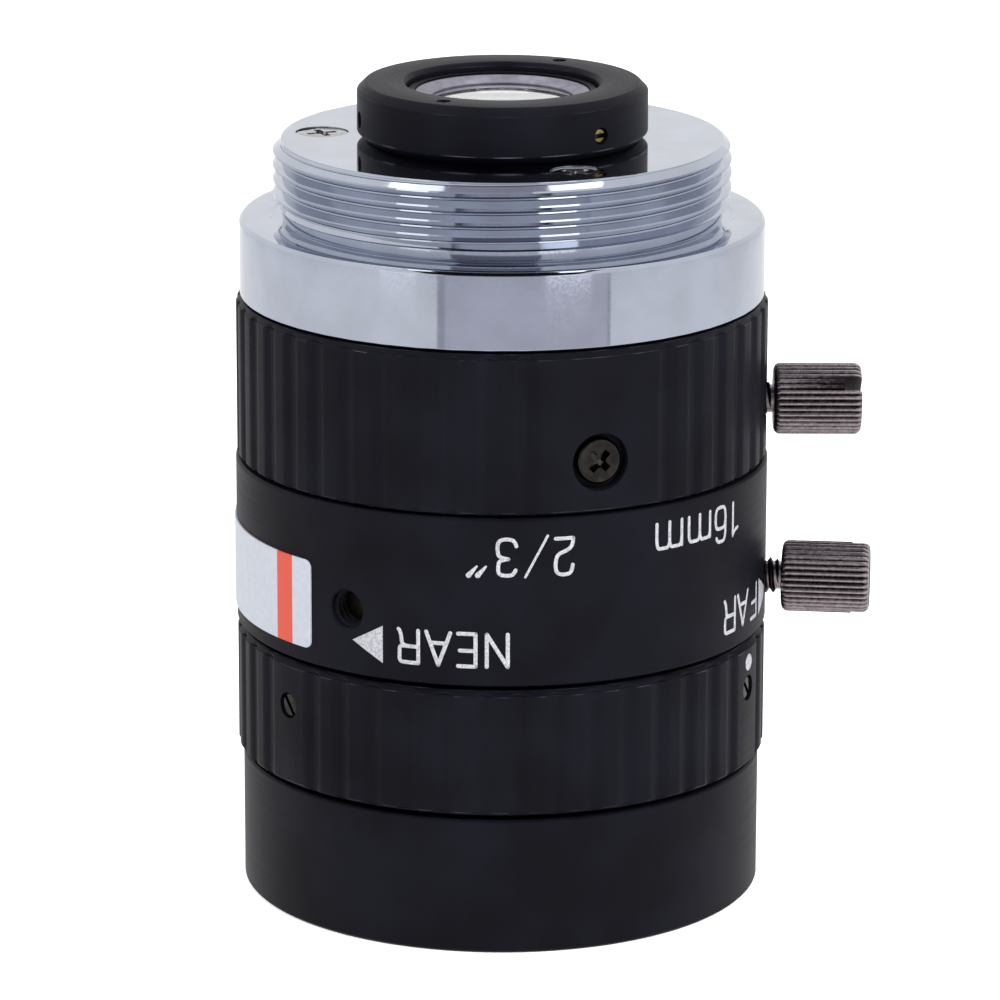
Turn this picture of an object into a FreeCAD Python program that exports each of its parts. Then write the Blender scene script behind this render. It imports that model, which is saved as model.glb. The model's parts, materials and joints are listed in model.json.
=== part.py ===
import FreeCAD, Part
import math
import os

# C-mount machine vision lens, standing on its front rim.
# Millimetres. The origin is the centre of the mount's flange face, on the optical axis.
# +Z points from the flange to the camera. Azimuth 0 faces -Y and grows towards +X.

# Camera mount
MOUNT_THREAD_D = 25.4
MOUNT_THREAD_H = 4.4
MOUNT_RELIEF_H = 0.85
MOUNT_RELIEF_DEPTH = 0.6
FLANGE_STEP = 0.225
FLANGE_H = 4.35
FLANGE_EDGE = 0.2
UNDERCUT_DEPTH = 0.15
UNDERCUT_MARGIN = 0.15
MOUNT_WALL = 1.2
MOUNT_WEB_H = 2.9
MOUNT_SCREW_AZIMUTH = 23.5
SIDE_COUNT = 3
TAP_MARGIN = 0.3

# Height of each outer ring, from the camera end to the front rim
IRIS_RING_H = 8.85
MIDDLE_H = 9.4
FOCUS_RING_H = 7.05
FRONT_H = 7.65
IRIS_TOP_GAP = 0.1
IRIS_LOW_GAP = 0.18
FOCUS_TOP_GAP = 0.3
FOCUS_LOW_GAP = 0.35

# Glass, from the front of the lens to the camera end
FRONT_LENS_R = 10.9
SECOND_LENS_R = 8.95
THIRD_LENS_R = 7.45
DOUBLET_R = 6.6
REAR_GROUP_R = 4.8
FRONT_LENS_EDGE = 3.0
SECOND_LENS_EDGE = 2.8
THIRD_LENS_EDGE = 2.0
CROWN_EDGE = 1.8
FLINT_EDGE = 1.2
SIXTH_LENS_EDGE = 1.6
REAR_LENS_EDGE = 2.0

# Radius of each glass surface, front and then rear; a hollow surface is negative
FRONT_LENS_CURVES = (22.0, -9.6)
SECOND_LENS_CURVES = (40.0, -12.0)
THIRD_LENS_CURVES = (15.0, 22.0)
CROWN_CURVE = 12.0
CEMENT_CURVE = 24.0
FLINT_CURVE = 25.0
SIXTH_LENS_CURVES = (30.0, 18.0)
REAR_LENS_CURVES = (20.0, 26.0)

# Walls
CELL_WALL = 1.05
SLEEVE_WALL = 0.9
JOURNAL_FLANGE = 0.6
BARREL_WALL = 1.2
IRIS_JOURNAL_WALL = 1.1
IRIS_RING_WALL = 1.575
FOCUS_RING_WALL = 1.825
FRONT_WALL = 2.57
REAR_CELL_WALL = 0.95
BARREL_TUBE_WALL = 0.9
SPACER_WALL = 1.1
GLASS_RIM = 0.25

# Clearances between pieces
GLASS_FIT = 0.05
THREAD_FIT = 0.03
SLIDE_FIT = 0.1
RING_FIT = 0.05
PIN_FIT = 0.05
FACE_FIT = 0.1

# Flutes of the two grip rings
FLUTE_COUNT = 45
FLUTE_DEPTH = 0.22
FLUTE_WIDTH = 1.04
RING_EDGE = 0.3
IRIS_FLUTE_AZIMUTH = 21.1
FOCUS_FLUTE_AZIMUTH = 67.8

# Iris
BLADE_COUNT = 5
BLADE_T = 0.08
BLADE_PITCH = 0.14
BLADE_BAND = 2.9
BLADE_BAND_STEP = 1.4
BLADE_SPAN = 150.0
BLADE_PIVOT_PIN_R = 0.4
BLADE_DRIVE_STEP = 0.3
BLADE_DRIVE_ANGLE = 13.0
BLADE_DRIVE_PIN_R = 0.3
BLADE_LUG = 0.7
BLADE_HEADROOM = 0.35
IRIS_TURN = 60.0
BLADE_RATIO = 0.44
IRIS_CAVITY_WALL = 1.7
IRIS_CAVITY_MARGIN = 1.1
CAM_WEB_H = 0.8
CAM_SLEEVE_WALL = 1.6
CAM_GROOVE_FLOOR = 0.3
CAM_OPEN_MARGIN = 0.15
BASE_PLATE_H = 0.4
SLOT_STEPS = 12

# Focus
FOCUS_TURN = 105.0
FOCUS_TRAVEL = 1.6
FOCUS_SHOULDER_DROP = 1.55
STOP_LUG_AZIMUTH = 150.0
STOP_LUG_SPAN = 8.0
STOP_LUG_H = 0.6
STOP_LUG_SET = 0.15
STOP_LUG_ROOM = 1.0
RETAINER_H = 1.25
GUIDE_KEY_R = 1.0
GUIDE_KEY_AZIMUTH = 200.0
GUIDE_KEY_DEPTH = 0.8

# Inner construction heights
CEILING_DROP = 0.95
CELL_TOP_CLEAR = 0.45
REAR_CELL_FLANGE_H = 1.35
CELL_WEB_H = 1.1
CELL_WEB_OPEN_STEP = 0.5
FRONT_SEAT_DEPTH = 3.85
FRONT_RING_H = 1.7
FRONT_RING_RECESS = 2.2
FRONT_SPACER_H = 2.7
DOUBLET_RING_H = 0.9
REAR_SPACER_H = 2.6
REAR_RING_INNER_H = 0.5
REAR_RING_INNER_WALL = 0.85
BARREL_TUBE_TOP = 6.7
REAR_CELL_TOP = 7.05
REAR_CELL_LIP_H = 0.55
REAR_CELL_LIP_STEP = 0.6
REAR_CELL_FOOT_FIT = 0.2
REAR_CELL_FOOT_GAP = 0.3
REAR_RING_INNER_SLOPE = 0.3

# Front barrel
FILTER_THREAD_WALL = 1.35
FILTER_THREAD_H = 3.2
FILTER_ENTRY = 0.2
FRONT_EDGE = 0.15

# Black ring on the camera end
REAR_RING_H = 3.15
REAR_RING_WALL = 1.2
REAR_RING_BORE_GAP = 0.13
REAR_RING_LIP_H = 0.8
REAR_RING_EDGE = 0.45
REAR_RING_BORE_EDGE = 0.23
SPANNER_HOLE_D = 0.8
SPANNER_HOLE_DEPTH = 0.7
SPANNER_HOLE_AZIMUTH = -28.5
REAR_SCREW_AZIMUTH = 42.0
REAR_SCREW_RISE = 1.25

# Screws
MOUNT_SCREW_HEAD_D = 2.85
MOUNT_SCREW_D = 1.6
MOUNT_SCREW_LENGTH = 4.6
LEVER_SCREW_AZIMUTH = 21.1
LEVER_SCREW_DROP = 6.1
LEVER_HEAD_D = 2.55
LEVER_HEAD_H = 0.6
LEVER_HEAD_RECESS = 0.2
LEVER_HEAD_EDGE = 0.15
LEVER_COUNTERBORE_D = 3.2
LEVER_SHANK_D = 1.6
LEVER_TIP_D = 1.2
LEVER_TIP_REACH = 0.9
CROSS_WIDTH = 0.34
CROSS_SHARE = 0.62
CROSS_DEPTH = 0.4
MOUNT_CROSS_TURN = 30.0
LEVER_CROSS_TURN = 46.0
HEAD_RIM_H = 0.11
GRUB_SLOT_WIDTH = 0.3
GRUB_SLOT_DEPTH = 0.4
FOCUS_GRUB_D = 1.4
FOCUS_GRUB_DROP = 2.55
FOCUS_GRUB_RECESS = 0.12
FOCUS_GRUB_TURN = -50.0
REAR_GRUB_D = 0.9
REAR_GRUB_RECESS = 0.15
SPARE_HOLE_AZIMUTH = -34.5
SPARE_HOLE_DROP = 5.8

# Thumb screws that lock the two rings
LOCK_SCREW_D = 2.0
LOCK_HEAD_D = 4.0
LOCK_HEAD_LENGTH = 4.9
LOCK_HEAD_EDGE = 0.3
LOCK_SLOT_WIDTH = 0.85
LOCK_SLOT_DEPTH = 1.0
LOCK_PAD_D = 1.5
LOCK_PAD_LENGTH = 0.5
KNURL_COUNT = 36
KNURL_DEPTH = 0.13
KNURL_SHARE = 0.8
IRIS_LOCK_AZIMUTH = 90.0
IRIS_LOCK_DROP = 6.05
IRIS_LOCK_STANDOFF = 0.375
IRIS_LOCK_SLOT_TURN = -40.0
FOCUS_LOCK_AZIMUTH = 84.0
FOCUS_LOCK_DROP = 6.85
FOCUS_LOCK_STANDOFF = 0.96
FOCUS_LOCK_SLOT_TURN = 75.0

# Label on the middle barrel
LABEL_T = 0.1
LABEL_H = 5.0
LABEL_DROP = 3.5
LABEL_END_AZIMUTH = -44.0
LABEL_SPAN = 95.0
LABEL_CORNER = 0.7

# Azimuth of the +X axis
X_AZIMUTH = 90.0

ORIGIN = FreeCAD.Vector(0, 0, 0)
X_AXIS = FreeCAD.Vector(1, 0, 0)
Z_AXIS = FreeCAD.Vector(0, 0, 1)
OVERCUT = 1.0

# Heights of the outer stack
flange_low = -FLANGE_H
iris_top = flange_low - IRIS_TOP_GAP
iris_low = iris_top - IRIS_RING_H
middle_top = iris_low - IRIS_LOW_GAP
middle_low = middle_top - MIDDLE_H
focus_top = middle_low - FOCUS_TOP_GAP
focus_low = focus_top - FOCUS_RING_H
front_top = focus_low - FOCUS_LOW_GAP
front_low = front_top - FRONT_H

# Radii of the nested tubes, outwards from the glass
front_bore_r = FRONT_LENS_R + GLASS_FIT
second_bore_r = SECOND_LENS_R + GLASS_FIT
third_bore_r = THIRD_LENS_R + GLASS_FIT
doublet_bore_r = DOUBLET_R + GLASS_FIT
rear_bore_r = REAR_GROUP_R + GLASS_FIT
cell_r = front_bore_r + CELL_WALL
tunnel_r = cell_r + SLIDE_FIT
sleeve_r = tunnel_r + SLEEVE_WALL
sleeve_flange_r = sleeve_r + JOURNAL_FLANGE
middle_bore_r = sleeve_flange_r + SLIDE_FIT
middle_r = middle_bore_r + BARREL_WALL
iris_journal_r = tunnel_r + IRIS_JOURNAL_WALL
iris_ring_bore_r = iris_journal_r + RING_FIT
iris_ring_r = iris_ring_bore_r + IRIS_RING_WALL
focus_ring_bore_r = sleeve_r + RING_FIT
focus_ring_r = focus_ring_bore_r + FOCUS_RING_WALL
front_seat_r = cell_r + THREAD_FIT
front_r = front_seat_r + FRONT_WALL
filter_r = front_r - FILTER_THREAD_WALL
rear_tube_r = rear_bore_r + REAR_CELL_WALL
barrel_tube_bore_r = rear_tube_r + SLIDE_FIT
barrel_tube_r = barrel_tube_bore_r + BARREL_TUBE_WALL
mount_bore_r = barrel_tube_r + RING_FIT

# Mount
thread_r = MOUNT_THREAD_D / 2
relief_r = thread_r - MOUNT_RELIEF_DEPTH
flange_r = iris_ring_r - FLANGE_STEP
mount_pocket_r = thread_r - MOUNT_WALL
mount_web_low = MOUNT_THREAD_H - MOUNT_WEB_H
rear_ring_r = mount_bore_r + REAR_RING_WALL
rear_cell_lip_r = rear_tube_r - REAR_CELL_LIP_STEP
rear_ring_bore_r = rear_cell_lip_r + REAR_RING_BORE_GAP
rear_ring_top = MOUNT_THREAD_H + REAR_RING_H
mount_screw_circle_r = (rear_ring_r + relief_r) / 2

# Iris compartment, placed from the lever screw
lever_z = iris_top - LEVER_SCREW_DROP
lever_tip_r = LEVER_TIP_D / 2
lever_room = lever_tip_r + SLIDE_FIT + PIN_FIT
ceiling_z = flange_low - CEILING_DROP
cell_top = ceiling_z - CELL_TOP_CLEAR
rear_flange_low = cell_top - REAR_CELL_FLANGE_H
iris_cavity_r = cell_r - IRIS_CAVITY_WALL
blade_pivot_r = iris_cavity_r - IRIS_CAVITY_MARGIN
blade_drive_r = blade_pivot_r - BLADE_DRIVE_STEP
blade_band_r = blade_pivot_r - BLADE_BAND_STEP
iris_open_r = blade_band_r - BLADE_BAND
cell_web_open_r = iris_open_r + CELL_WEB_OPEN_STEP
cam_r = iris_cavity_r - SLIDE_FIT
cam_sleeve_bore_r = cam_r - CAM_SLEEVE_WALL
cam_top = rear_flange_low - FACE_FIT
cam_web_top = lever_z - lever_room - CAM_GROOVE_FLOOR
cam_web_low = cam_web_top - CAM_WEB_H
blade_stack_h = BLADE_PITCH * BLADE_COUNT
blades_low = cam_web_low - BLADE_HEADROOM - blade_stack_h
base_top = blades_low - BLADE_PITCH / 2
base_low = base_top - BASE_PLATE_H
cell_web_low = base_low - CELL_WEB_H
rear_cell_foot_r = cam_sleeve_bore_r - REAR_CELL_FOOT_FIT
rear_cell_foot_low = cam_web_top + REAR_CELL_FOOT_GAP

# Focus sleeve and its retainer
shoulder_z = middle_top - FOCUS_SHOULDER_DROP
sleeve_top = shoulder_z - FACE_FIT
retainer_low = middle_low + FACE_FIT
retainer_top = retainer_low + RETAINER_H
sleeve_flange_low = retainer_top + FACE_FIT
sleeve_low = focus_low + RING_EDGE
focus_lock_z = middle_top - FOCUS_LOCK_DROP

# Seats in the lens cell, from the front end
cell_low = front_top - FRONT_SEAT_DEPTH
front_ring_low = cell_low + FRONT_RING_RECESS
front_lens_low = front_ring_low + FRONT_RING_H
front_lens_top = front_lens_low + FRONT_LENS_EDGE
second_lens_low = front_lens_top + FRONT_SPACER_H
second_lens_top = second_lens_low + SECOND_LENS_EDGE
third_lens_top = cell_web_low
third_lens_low = third_lens_top - THIRD_LENS_EDGE

# Seats in the rear cell
doublet_ring_low = rear_cell_foot_low
crown_low = doublet_ring_low + DOUBLET_RING_H
flint_low = crown_low + CROWN_EDGE
flint_top = flint_low + FLINT_EDGE
rear_ring_seat = REAR_CELL_TOP - REAR_RING_INNER_H
rear_lens_low = rear_ring_seat - REAR_LENS_EDGE
sixth_lens_top = rear_lens_low - REAR_SPACER_H
sixth_lens_low = sixth_lens_top - SIXTH_LENS_EDGE


def spot(radius, azimuth, z=0.0):
    """Point at a distance from the optical axis, in the direction of an azimuth."""
    turn = math.radians(azimuth)
    return FreeCAD.Vector(radius * math.sin(turn), -radius * math.cos(turn), z)


def turned(profile):
    """Solid turned about the optical axis from an outline of (radius, z) points."""
    corners = [FreeCAD.Vector(radius, 0, z) for radius, z in profile]
    outline = Part.makePolygon(corners + corners[:1])
    return Part.Face(outline).revolve(ORIGIN, Z_AXIS, 360)


def tube(inner, outer, low, high):
    """Plain ring between two radii and two heights."""
    return turned([(inner, low), (outer, low), (outer, high), (inner, high)])


def arc_block(inner, outer, low, high, start, end):
    """Part of a ring between two azimuths."""
    corners = [spot(inner, start, low), spot(outer, start, low),
               spot(outer, start, high), spot(inner, start, high)]
    face = Part.Face(Part.makePolygon(corners + corners[:1]))
    return face.revolve(ORIGIN, Z_AXIS, end - start)


def upright_bar(radius, low, high, distance, azimuth):
    """Round bar parallel to the optical axis."""
    return Part.makeCylinder(radius, high - low, spot(distance, azimuth, low))


def radial_bar(radius, inner, outer, azimuth, z):
    """Round bar that points away from the optical axis."""
    return Part.makeCylinder(radius, outer - inner, spot(inner, azimuth, z), spot(1, azimuth))


def around(azimuth, count=SIDE_COUNT):
    """Azimuths of features spaced evenly round the lens."""
    return [azimuth + 360.0 / count * n for n in range(count)]


def on_side(shape, distance, azimuth, z, turn=0.0):
    """Moves a shape whose top faces +Z to the side of the lens, facing outwards."""
    placed = shape.copy()
    placed.rotate(ORIGIN, Z_AXIS, turn)
    placed.rotate(ORIGIN, X_AXIS, 90)
    placed.rotate(ORIGIN, Z_AXIS, azimuth)
    placed.translate(spot(distance, azimuth, z))
    return placed


def on_top(shape, distance, azimuth, z, turn=0.0):
    """Moves a shape whose top faces +Z to a point on an upward face."""
    placed = shape.copy()
    placed.rotate(ORIGIN, Z_AXIS, turn + azimuth)
    placed.translate(spot(distance, azimuth, z))
    return placed


def cross_recess(head_r):
    """Cutter for a cross drive in a screw head whose top is at z 0."""
    arm = head_r * CROSS_SHARE
    bars = []
    for length, width in ((arm, CROSS_WIDTH / 2), (CROSS_WIDTH / 2, arm)):
        low = FreeCAD.Vector(-length, -width, -CROSS_DEPTH)
        bars.append(Part.makeBox(2 * length, 2 * width, CROSS_DEPTH + OVERCUT, low))
    return bars[0].fuse(bars[1])


def slot_cutter(length, width, depth):
    """Cutter for a straight slot across a screw whose top is at z 0."""
    low = FreeCAD.Vector(-length, -width / 2, -depth)
    return Part.makeBox(2 * length, width, depth + OVERCUT, low)


def countersunk_screw(head_r, shank_r, length):
    """Countersunk cross-drive screw with its top at z 0."""
    cone = head_r - shank_r
    screw = turned([(0, 0), (head_r, 0), (head_r, -HEAD_RIM_H), (shank_r, -HEAD_RIM_H - cone),
                    (shank_r, -length), (0, -length)])
    return screw.cut(cross_recess(head_r))


def grub_screw(radius, length):
    """Headless slotted screw with its top at z 0 and a chamfered tip."""
    tip = radius / 3
    screw = turned([(0, 0), (radius, 0), (radius, tip - length), (radius - tip, -length),
                    (0, -length)])
    return screw.cut(slot_cutter(radius, GRUB_SLOT_WIDTH, GRUB_SLOT_DEPTH))


def fluted_ring(bore_r, outer_r, low, high, first, plain):
    """Grip ring with concave flutes, left out where a screw or an index sits."""
    ring = turned([(bore_r, low), (outer_r - RING_EDGE, low), (outer_r, low + RING_EDGE),
                   (outer_r, high - RING_EDGE), (outer_r - RING_EDGE, high), (bore_r, high)])
    flute_r = (FLUTE_WIDTH ** 2 / 4 + FLUTE_DEPTH ** 2) / (2 * FLUTE_DEPTH)
    distance = outer_r - FLUTE_DEPTH + flute_r
    cutters = []
    for n, azimuth in enumerate(around(first, FLUTE_COUNT)):
        if n not in plain:
            cutters.append(upright_bar(flute_r, low - OVERCUT, high + OVERCUT, distance, azimuth))
    return ring.cut(cutters)


def glass_surface(z, curve, clear, outward):
    """Pole, middle and rim of a lens surface whose rim lies at a height."""
    bulge = outward * math.copysign(1, curve)
    size = abs(curve)
    points = []
    for radius in (0, clear / 2, clear):
        rise = math.sqrt(size ** 2 - radius ** 2) - math.sqrt(size ** 2 - clear ** 2)
        points.append(FreeCAD.Vector(radius, 0, z + bulge * rise))
    return points


def glass(radius, low, high, curves, low_clear, high_clear):
    """Lens element between two flat rims, with a curved surface inside each."""
    low_pole, low_middle, low_rim = glass_surface(low, curves[0], low_clear, -1)
    high_pole, high_middle, high_rim = glass_surface(high, curves[1], high_clear, 1)
    low_corner = FreeCAD.Vector(radius, 0, low)
    high_corner = FreeCAD.Vector(radius, 0, high)
    edges = [Part.Arc(low_pole, low_middle, low_rim).toShape()]
    if low_clear < radius:
        edges.append(Part.makeLine(low_rim, low_corner))
    edges.append(Part.makeLine(low_corner, high_corner))
    if high_clear < radius:
        edges.append(Part.makeLine(high_corner, high_rim))
    edges.append(Part.Arc(high_rim, high_middle, high_pole).toShape())
    edges.append(Part.makeLine(high_pole, low_pole))
    return Part.Face(Part.Wire(edges)).revolve(ORIGIN, Z_AXIS, 360)


def c_mount():
    """Plated mount: flange, threaded snout, and the web that carries its three screws."""
    face_edge = thread_r + UNDERCUT_MARGIN
    body = turned([
        (mount_pocket_r, flange_low), (flange_r - FLANGE_EDGE, flange_low),
        (flange_r, flange_low + FLANGE_EDGE), (flange_r, -FLANGE_EDGE),
        (flange_r - FLANGE_EDGE, 0), (face_edge, 0), (face_edge, -UNDERCUT_DEPTH),
        (relief_r, -UNDERCUT_DEPTH), (relief_r, MOUNT_RELIEF_H - MOUNT_RELIEF_DEPTH / 2),
        (thread_r, MOUNT_RELIEF_H), (thread_r, MOUNT_THREAD_H - MOUNT_RELIEF_DEPTH),
        (relief_r, MOUNT_THREAD_H), (mount_bore_r, MOUNT_THREAD_H),
        (mount_bore_r, mount_web_low), (mount_pocket_r, mount_web_low)])
    cutters = []
    for azimuth in around(MOUNT_SCREW_AZIMUTH):
        head_r = MOUNT_SCREW_HEAD_D / 2 + PIN_FIT
        shank_r = MOUNT_SCREW_D / 2 + PIN_FIT
        rim = -HEAD_RIM_H - PIN_FIT
        hole = turned([(0, OVERCUT), (head_r, OVERCUT), (head_r, rim),
                       (shank_r, rim - head_r + shank_r), (shank_r, -MOUNT_WEB_H - OVERCUT),
                       (0, -MOUNT_WEB_H - OVERCUT)])
        cutters.append(on_top(hole, mount_screw_circle_r, azimuth, MOUNT_THREAD_H))
    return body.cut(cutters)


def mount_screws():
    """Three countersunk screws that hold the mount to the barrel."""
    screw = countersunk_screw(MOUNT_SCREW_HEAD_D / 2, MOUNT_SCREW_D / 2, MOUNT_SCREW_LENGTH)
    top = MOUNT_THREAD_H - PIN_FIT
    return Part.makeCompound([on_top(screw, mount_screw_circle_r, azimuth, top, MOUNT_CROSS_TURN)
                              for azimuth in around(MOUNT_SCREW_AZIMUTH)])


def main_barrel():
    """Fixed barrel: smooth middle, journal of the iris ring, spigot and rear tube."""
    spigot_r = mount_pocket_r - RING_FIT
    spigot_top = mount_web_low
    body = turned([
        (middle_bore_r, middle_low), (middle_r - FRONT_EDGE, middle_low),
        (middle_r, middle_low + FRONT_EDGE), (middle_r, middle_top - FRONT_EDGE),
        (middle_r - FRONT_EDGE, middle_top), (iris_journal_r, middle_top),
        (iris_journal_r, flange_low), (spigot_r, flange_low), (spigot_r, spigot_top),
        (barrel_tube_r, spigot_top), (barrel_tube_r, BARREL_TUBE_TOP),
        (barrel_tube_bore_r, BARREL_TUBE_TOP), (barrel_tube_bore_r, ceiling_z),
        (tunnel_r, ceiling_z), (tunnel_r, shoulder_z), (middle_bore_r, shoulder_z)])
    cutters = [lever_slot(tunnel_r, iris_journal_r, lever_z - lever_room, lever_z + lever_room)]
    tapped_low = MOUNT_THREAD_H - MOUNT_SCREW_LENGTH - TAP_MARGIN
    for azimuth in around(MOUNT_SCREW_AZIMUTH):
        cutters.append(upright_bar(MOUNT_SCREW_D / 2 + THREAD_FIT, tapped_low,
                                   spigot_top + OVERCUT, mount_screw_circle_r, azimuth))
    cutters.append(radial_bar(GUIDE_KEY_R + THREAD_FIT, tunnel_r - OVERCUT,
                              iris_journal_r + OVERCUT, GUIDE_KEY_AZIMUTH, lever_z))
    screw_hole_r = LOCK_SCREW_D / 2 + PIN_FIT
    for azimuth, drop in ((FOCUS_LOCK_AZIMUTH, FOCUS_LOCK_DROP),
                          (SPARE_HOLE_AZIMUTH, SPARE_HOLE_DROP)):
        cutters.append(radial_bar(screw_hole_r, sleeve_r, middle_r + OVERCUT, azimuth,
                                  middle_top - drop))
    cutters.append(arc_block(sleeve_r - 2 * STOP_LUG_SET, sleeve_flange_r, shoulder_z - OVERCUT,
                             shoulder_z + STOP_LUG_H + FACE_FIT,
                             STOP_LUG_AZIMUTH - FOCUS_TURN - STOP_LUG_ROOM,
                             STOP_LUG_AZIMUTH + STOP_LUG_SPAN + STOP_LUG_ROOM))
    return body.cut(cutters)


def lever_slot(inner, outer, low, high):
    """Cutter for the arc through which the lever screw reaches the iris cam."""
    half = math.degrees(math.asin(lever_room / inner))
    return arc_block(inner - OVERCUT / 4, outer + OVERCUT, low, high,
                     LEVER_SCREW_AZIMUTH - half, LEVER_SCREW_AZIMUTH + IRIS_TURN + half)


def guide_key():
    """Round key in the barrel that keeps the lens cell from turning."""
    inner = cell_r - GUIDE_KEY_DEPTH
    return radial_bar(GUIDE_KEY_R, inner, iris_journal_r - FACE_FIT, GUIDE_KEY_AZIMUTH, lever_z)


def sleeve_retainer():
    """Threaded ring that keeps the focus sleeve in the barrel."""
    ring = tube(sleeve_r + SLIDE_FIT, middle_bore_r - THREAD_FIT, retainer_low, retainer_top)
    notches = []
    for azimuth in around(0, 2):
        notch = slot_cutter(JOURNAL_FLANGE, RETAINER_H, RETAINER_H / 2)
        notch.rotate(ORIGIN, X_AXIS, 180)
        notches.append(on_top(notch, (sleeve_r + middle_bore_r) / 2, azimuth, retainer_low, 90))
    return ring.cut(notches)


def rear_ring():
    """Black ring round the rear glass, fixed on the barrel's rear tube."""
    bore_r = rear_ring_bore_r
    lip_low = rear_ring_top - REAR_RING_LIP_H
    body = turned([
        (mount_bore_r, MOUNT_THREAD_H), (rear_ring_r - REAR_RING_EDGE, MOUNT_THREAD_H),
        (rear_ring_r, MOUNT_THREAD_H + REAR_RING_EDGE), (rear_ring_r, rear_ring_top - REAR_RING_EDGE),
        (rear_ring_r - REAR_RING_EDGE, rear_ring_top), (bore_r + REAR_RING_BORE_EDGE, rear_ring_top),
        (bore_r, rear_ring_top - REAR_RING_BORE_EDGE), (bore_r, lip_low), (mount_bore_r, lip_low)])
    cutters = [upright_bar(SPANNER_HOLE_D / 2, rear_ring_top - SPANNER_HOLE_DEPTH,
                           rear_ring_top + OVERCUT, (rear_ring_r + bore_r) / 2, azimuth)
               for azimuth in around(SPANNER_HOLE_AZIMUTH, 2)]
    cutters += [radial_bar(REAR_GRUB_D / 2 + THREAD_FIT, barrel_tube_r, rear_ring_r + OVERCUT,
                           azimuth, MOUNT_THREAD_H + REAR_SCREW_RISE)
                for azimuth in around(REAR_SCREW_AZIMUTH)]
    return body.cut(cutters)


def rear_ring_screws():
    """Grub screws that fix the black ring on the rear tube."""
    outer = rear_ring_r - REAR_GRUB_RECESS
    screw = grub_screw(REAR_GRUB_D / 2, outer - barrel_tube_r - THREAD_FIT)
    return Part.makeCompound([on_side(screw, outer, azimuth, MOUNT_THREAD_H + REAR_SCREW_RISE)
                              for azimuth in around(REAR_SCREW_AZIMUTH)])


def label():
    """Thin sticker round the side of the middle barrel."""
    high = middle_top - LABEL_DROP
    patch = arc_block(middle_r, middle_r + LABEL_T, high - LABEL_H, high,
                      LABEL_END_AZIMUTH - LABEL_SPAN, LABEL_END_AZIMUTH)
    corners = [edge for edge in patch.Edges if edge.Length < 2 * LABEL_T]
    return patch.makeFillet(LABEL_CORNER, corners)


def iris_ring():
    """Fluted ring that sets the iris, with the lever screw's seat and the lock's hole."""
    ring = fluted_ring(iris_ring_bore_r, iris_ring_r, iris_low, iris_top, IRIS_FLUTE_AZIMUTH,
                       (0, 1, FLUTE_COUNT - 1))
    head_seat = iris_ring_r - LEVER_HEAD_RECESS - LEVER_HEAD_H
    cutters = [
        radial_bar(LEVER_COUNTERBORE_D / 2, head_seat, iris_ring_r + OVERCUT,
                   LEVER_SCREW_AZIMUTH, lever_z),
        radial_bar(LEVER_SHANK_D / 2 + THREAD_FIT, iris_journal_r, iris_ring_r,
                   LEVER_SCREW_AZIMUTH, lever_z),
        radial_bar(LOCK_SCREW_D / 2 + PIN_FIT, iris_journal_r, iris_ring_r + OVERCUT,
                   IRIS_LOCK_AZIMUTH, iris_top - IRIS_LOCK_DROP)]
    return ring.cut(cutters)


def iris_lever_screw():
    """Cross-drive screw whose tip passes through the barrel and turns the iris cam."""
    seat = iris_ring_r - LEVER_HEAD_RECESS - LEVER_HEAD_H
    tip_end = cam_r - LEVER_TIP_REACH
    shank_end = iris_ring_bore_r + RING_FIT
    head_r = LEVER_HEAD_D / 2
    screw = turned([
        (0, seat + LEVER_HEAD_H), (head_r - LEVER_HEAD_EDGE, seat + LEVER_HEAD_H),
        (head_r, seat + LEVER_HEAD_H - LEVER_HEAD_EDGE), (head_r, seat), (LEVER_SHANK_D / 2, seat),
        (LEVER_SHANK_D / 2, shank_end), (lever_tip_r, shank_end), (lever_tip_r, tip_end),
        (0, tip_end)])
    drive = cross_recess(head_r)
    drive.translate(FreeCAD.Vector(0, 0, seat + LEVER_HEAD_H))
    return on_side(screw.cut(drive), 0, LEVER_SCREW_AZIMUTH, lever_z, LEVER_CROSS_TURN)


def focus_ring():
    """Fluted ring fixed on the focus sleeve, plain at its three grub screws."""
    ring = fluted_ring(focus_ring_bore_r, focus_ring_r, focus_low, focus_top, FOCUS_FLUTE_AZIMUTH,
                       [n * FLUTE_COUNT // SIDE_COUNT for n in range(SIDE_COUNT)])
    holes = [radial_bar(FOCUS_GRUB_D / 2 + THREAD_FIT, sleeve_r, focus_ring_r + OVERCUT, azimuth,
                        focus_top - FOCUS_GRUB_DROP) for azimuth in around(FOCUS_FLUTE_AZIMUTH)]
    return ring.cut(holes)


def focus_ring_screws():
    """Grub screws that clamp the focus ring on its sleeve."""
    outer = focus_ring_r - FOCUS_GRUB_RECESS
    screw = grub_screw(FOCUS_GRUB_D / 2, outer - sleeve_r - THREAD_FIT)
    grub_z = focus_top - FOCUS_GRUB_DROP
    return Part.makeCompound([on_side(screw, outer, azimuth, grub_z, FOCUS_GRUB_TURN)
                              for azimuth in around(FOCUS_FLUTE_AZIMUTH)])


def focus_sleeve():
    """Threaded sleeve that turns with the focus ring and drives the lens cell."""
    body = turned([
        (tunnel_r, sleeve_low), (sleeve_r, sleeve_low), (sleeve_r, sleeve_flange_low),
        (sleeve_flange_r, sleeve_flange_low), (sleeve_flange_r, sleeve_top), (tunnel_r, sleeve_top)])
    lug = arc_block(sleeve_r - STOP_LUG_SET, sleeve_flange_r - STOP_LUG_SET,
                    sleeve_top - STOP_LUG_H, shoulder_z + STOP_LUG_H - FACE_FIT / 2,
                    STOP_LUG_AZIMUTH, STOP_LUG_AZIMUTH + STOP_LUG_SPAN)
    return body.fuse(lug).removeSplitter()


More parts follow.
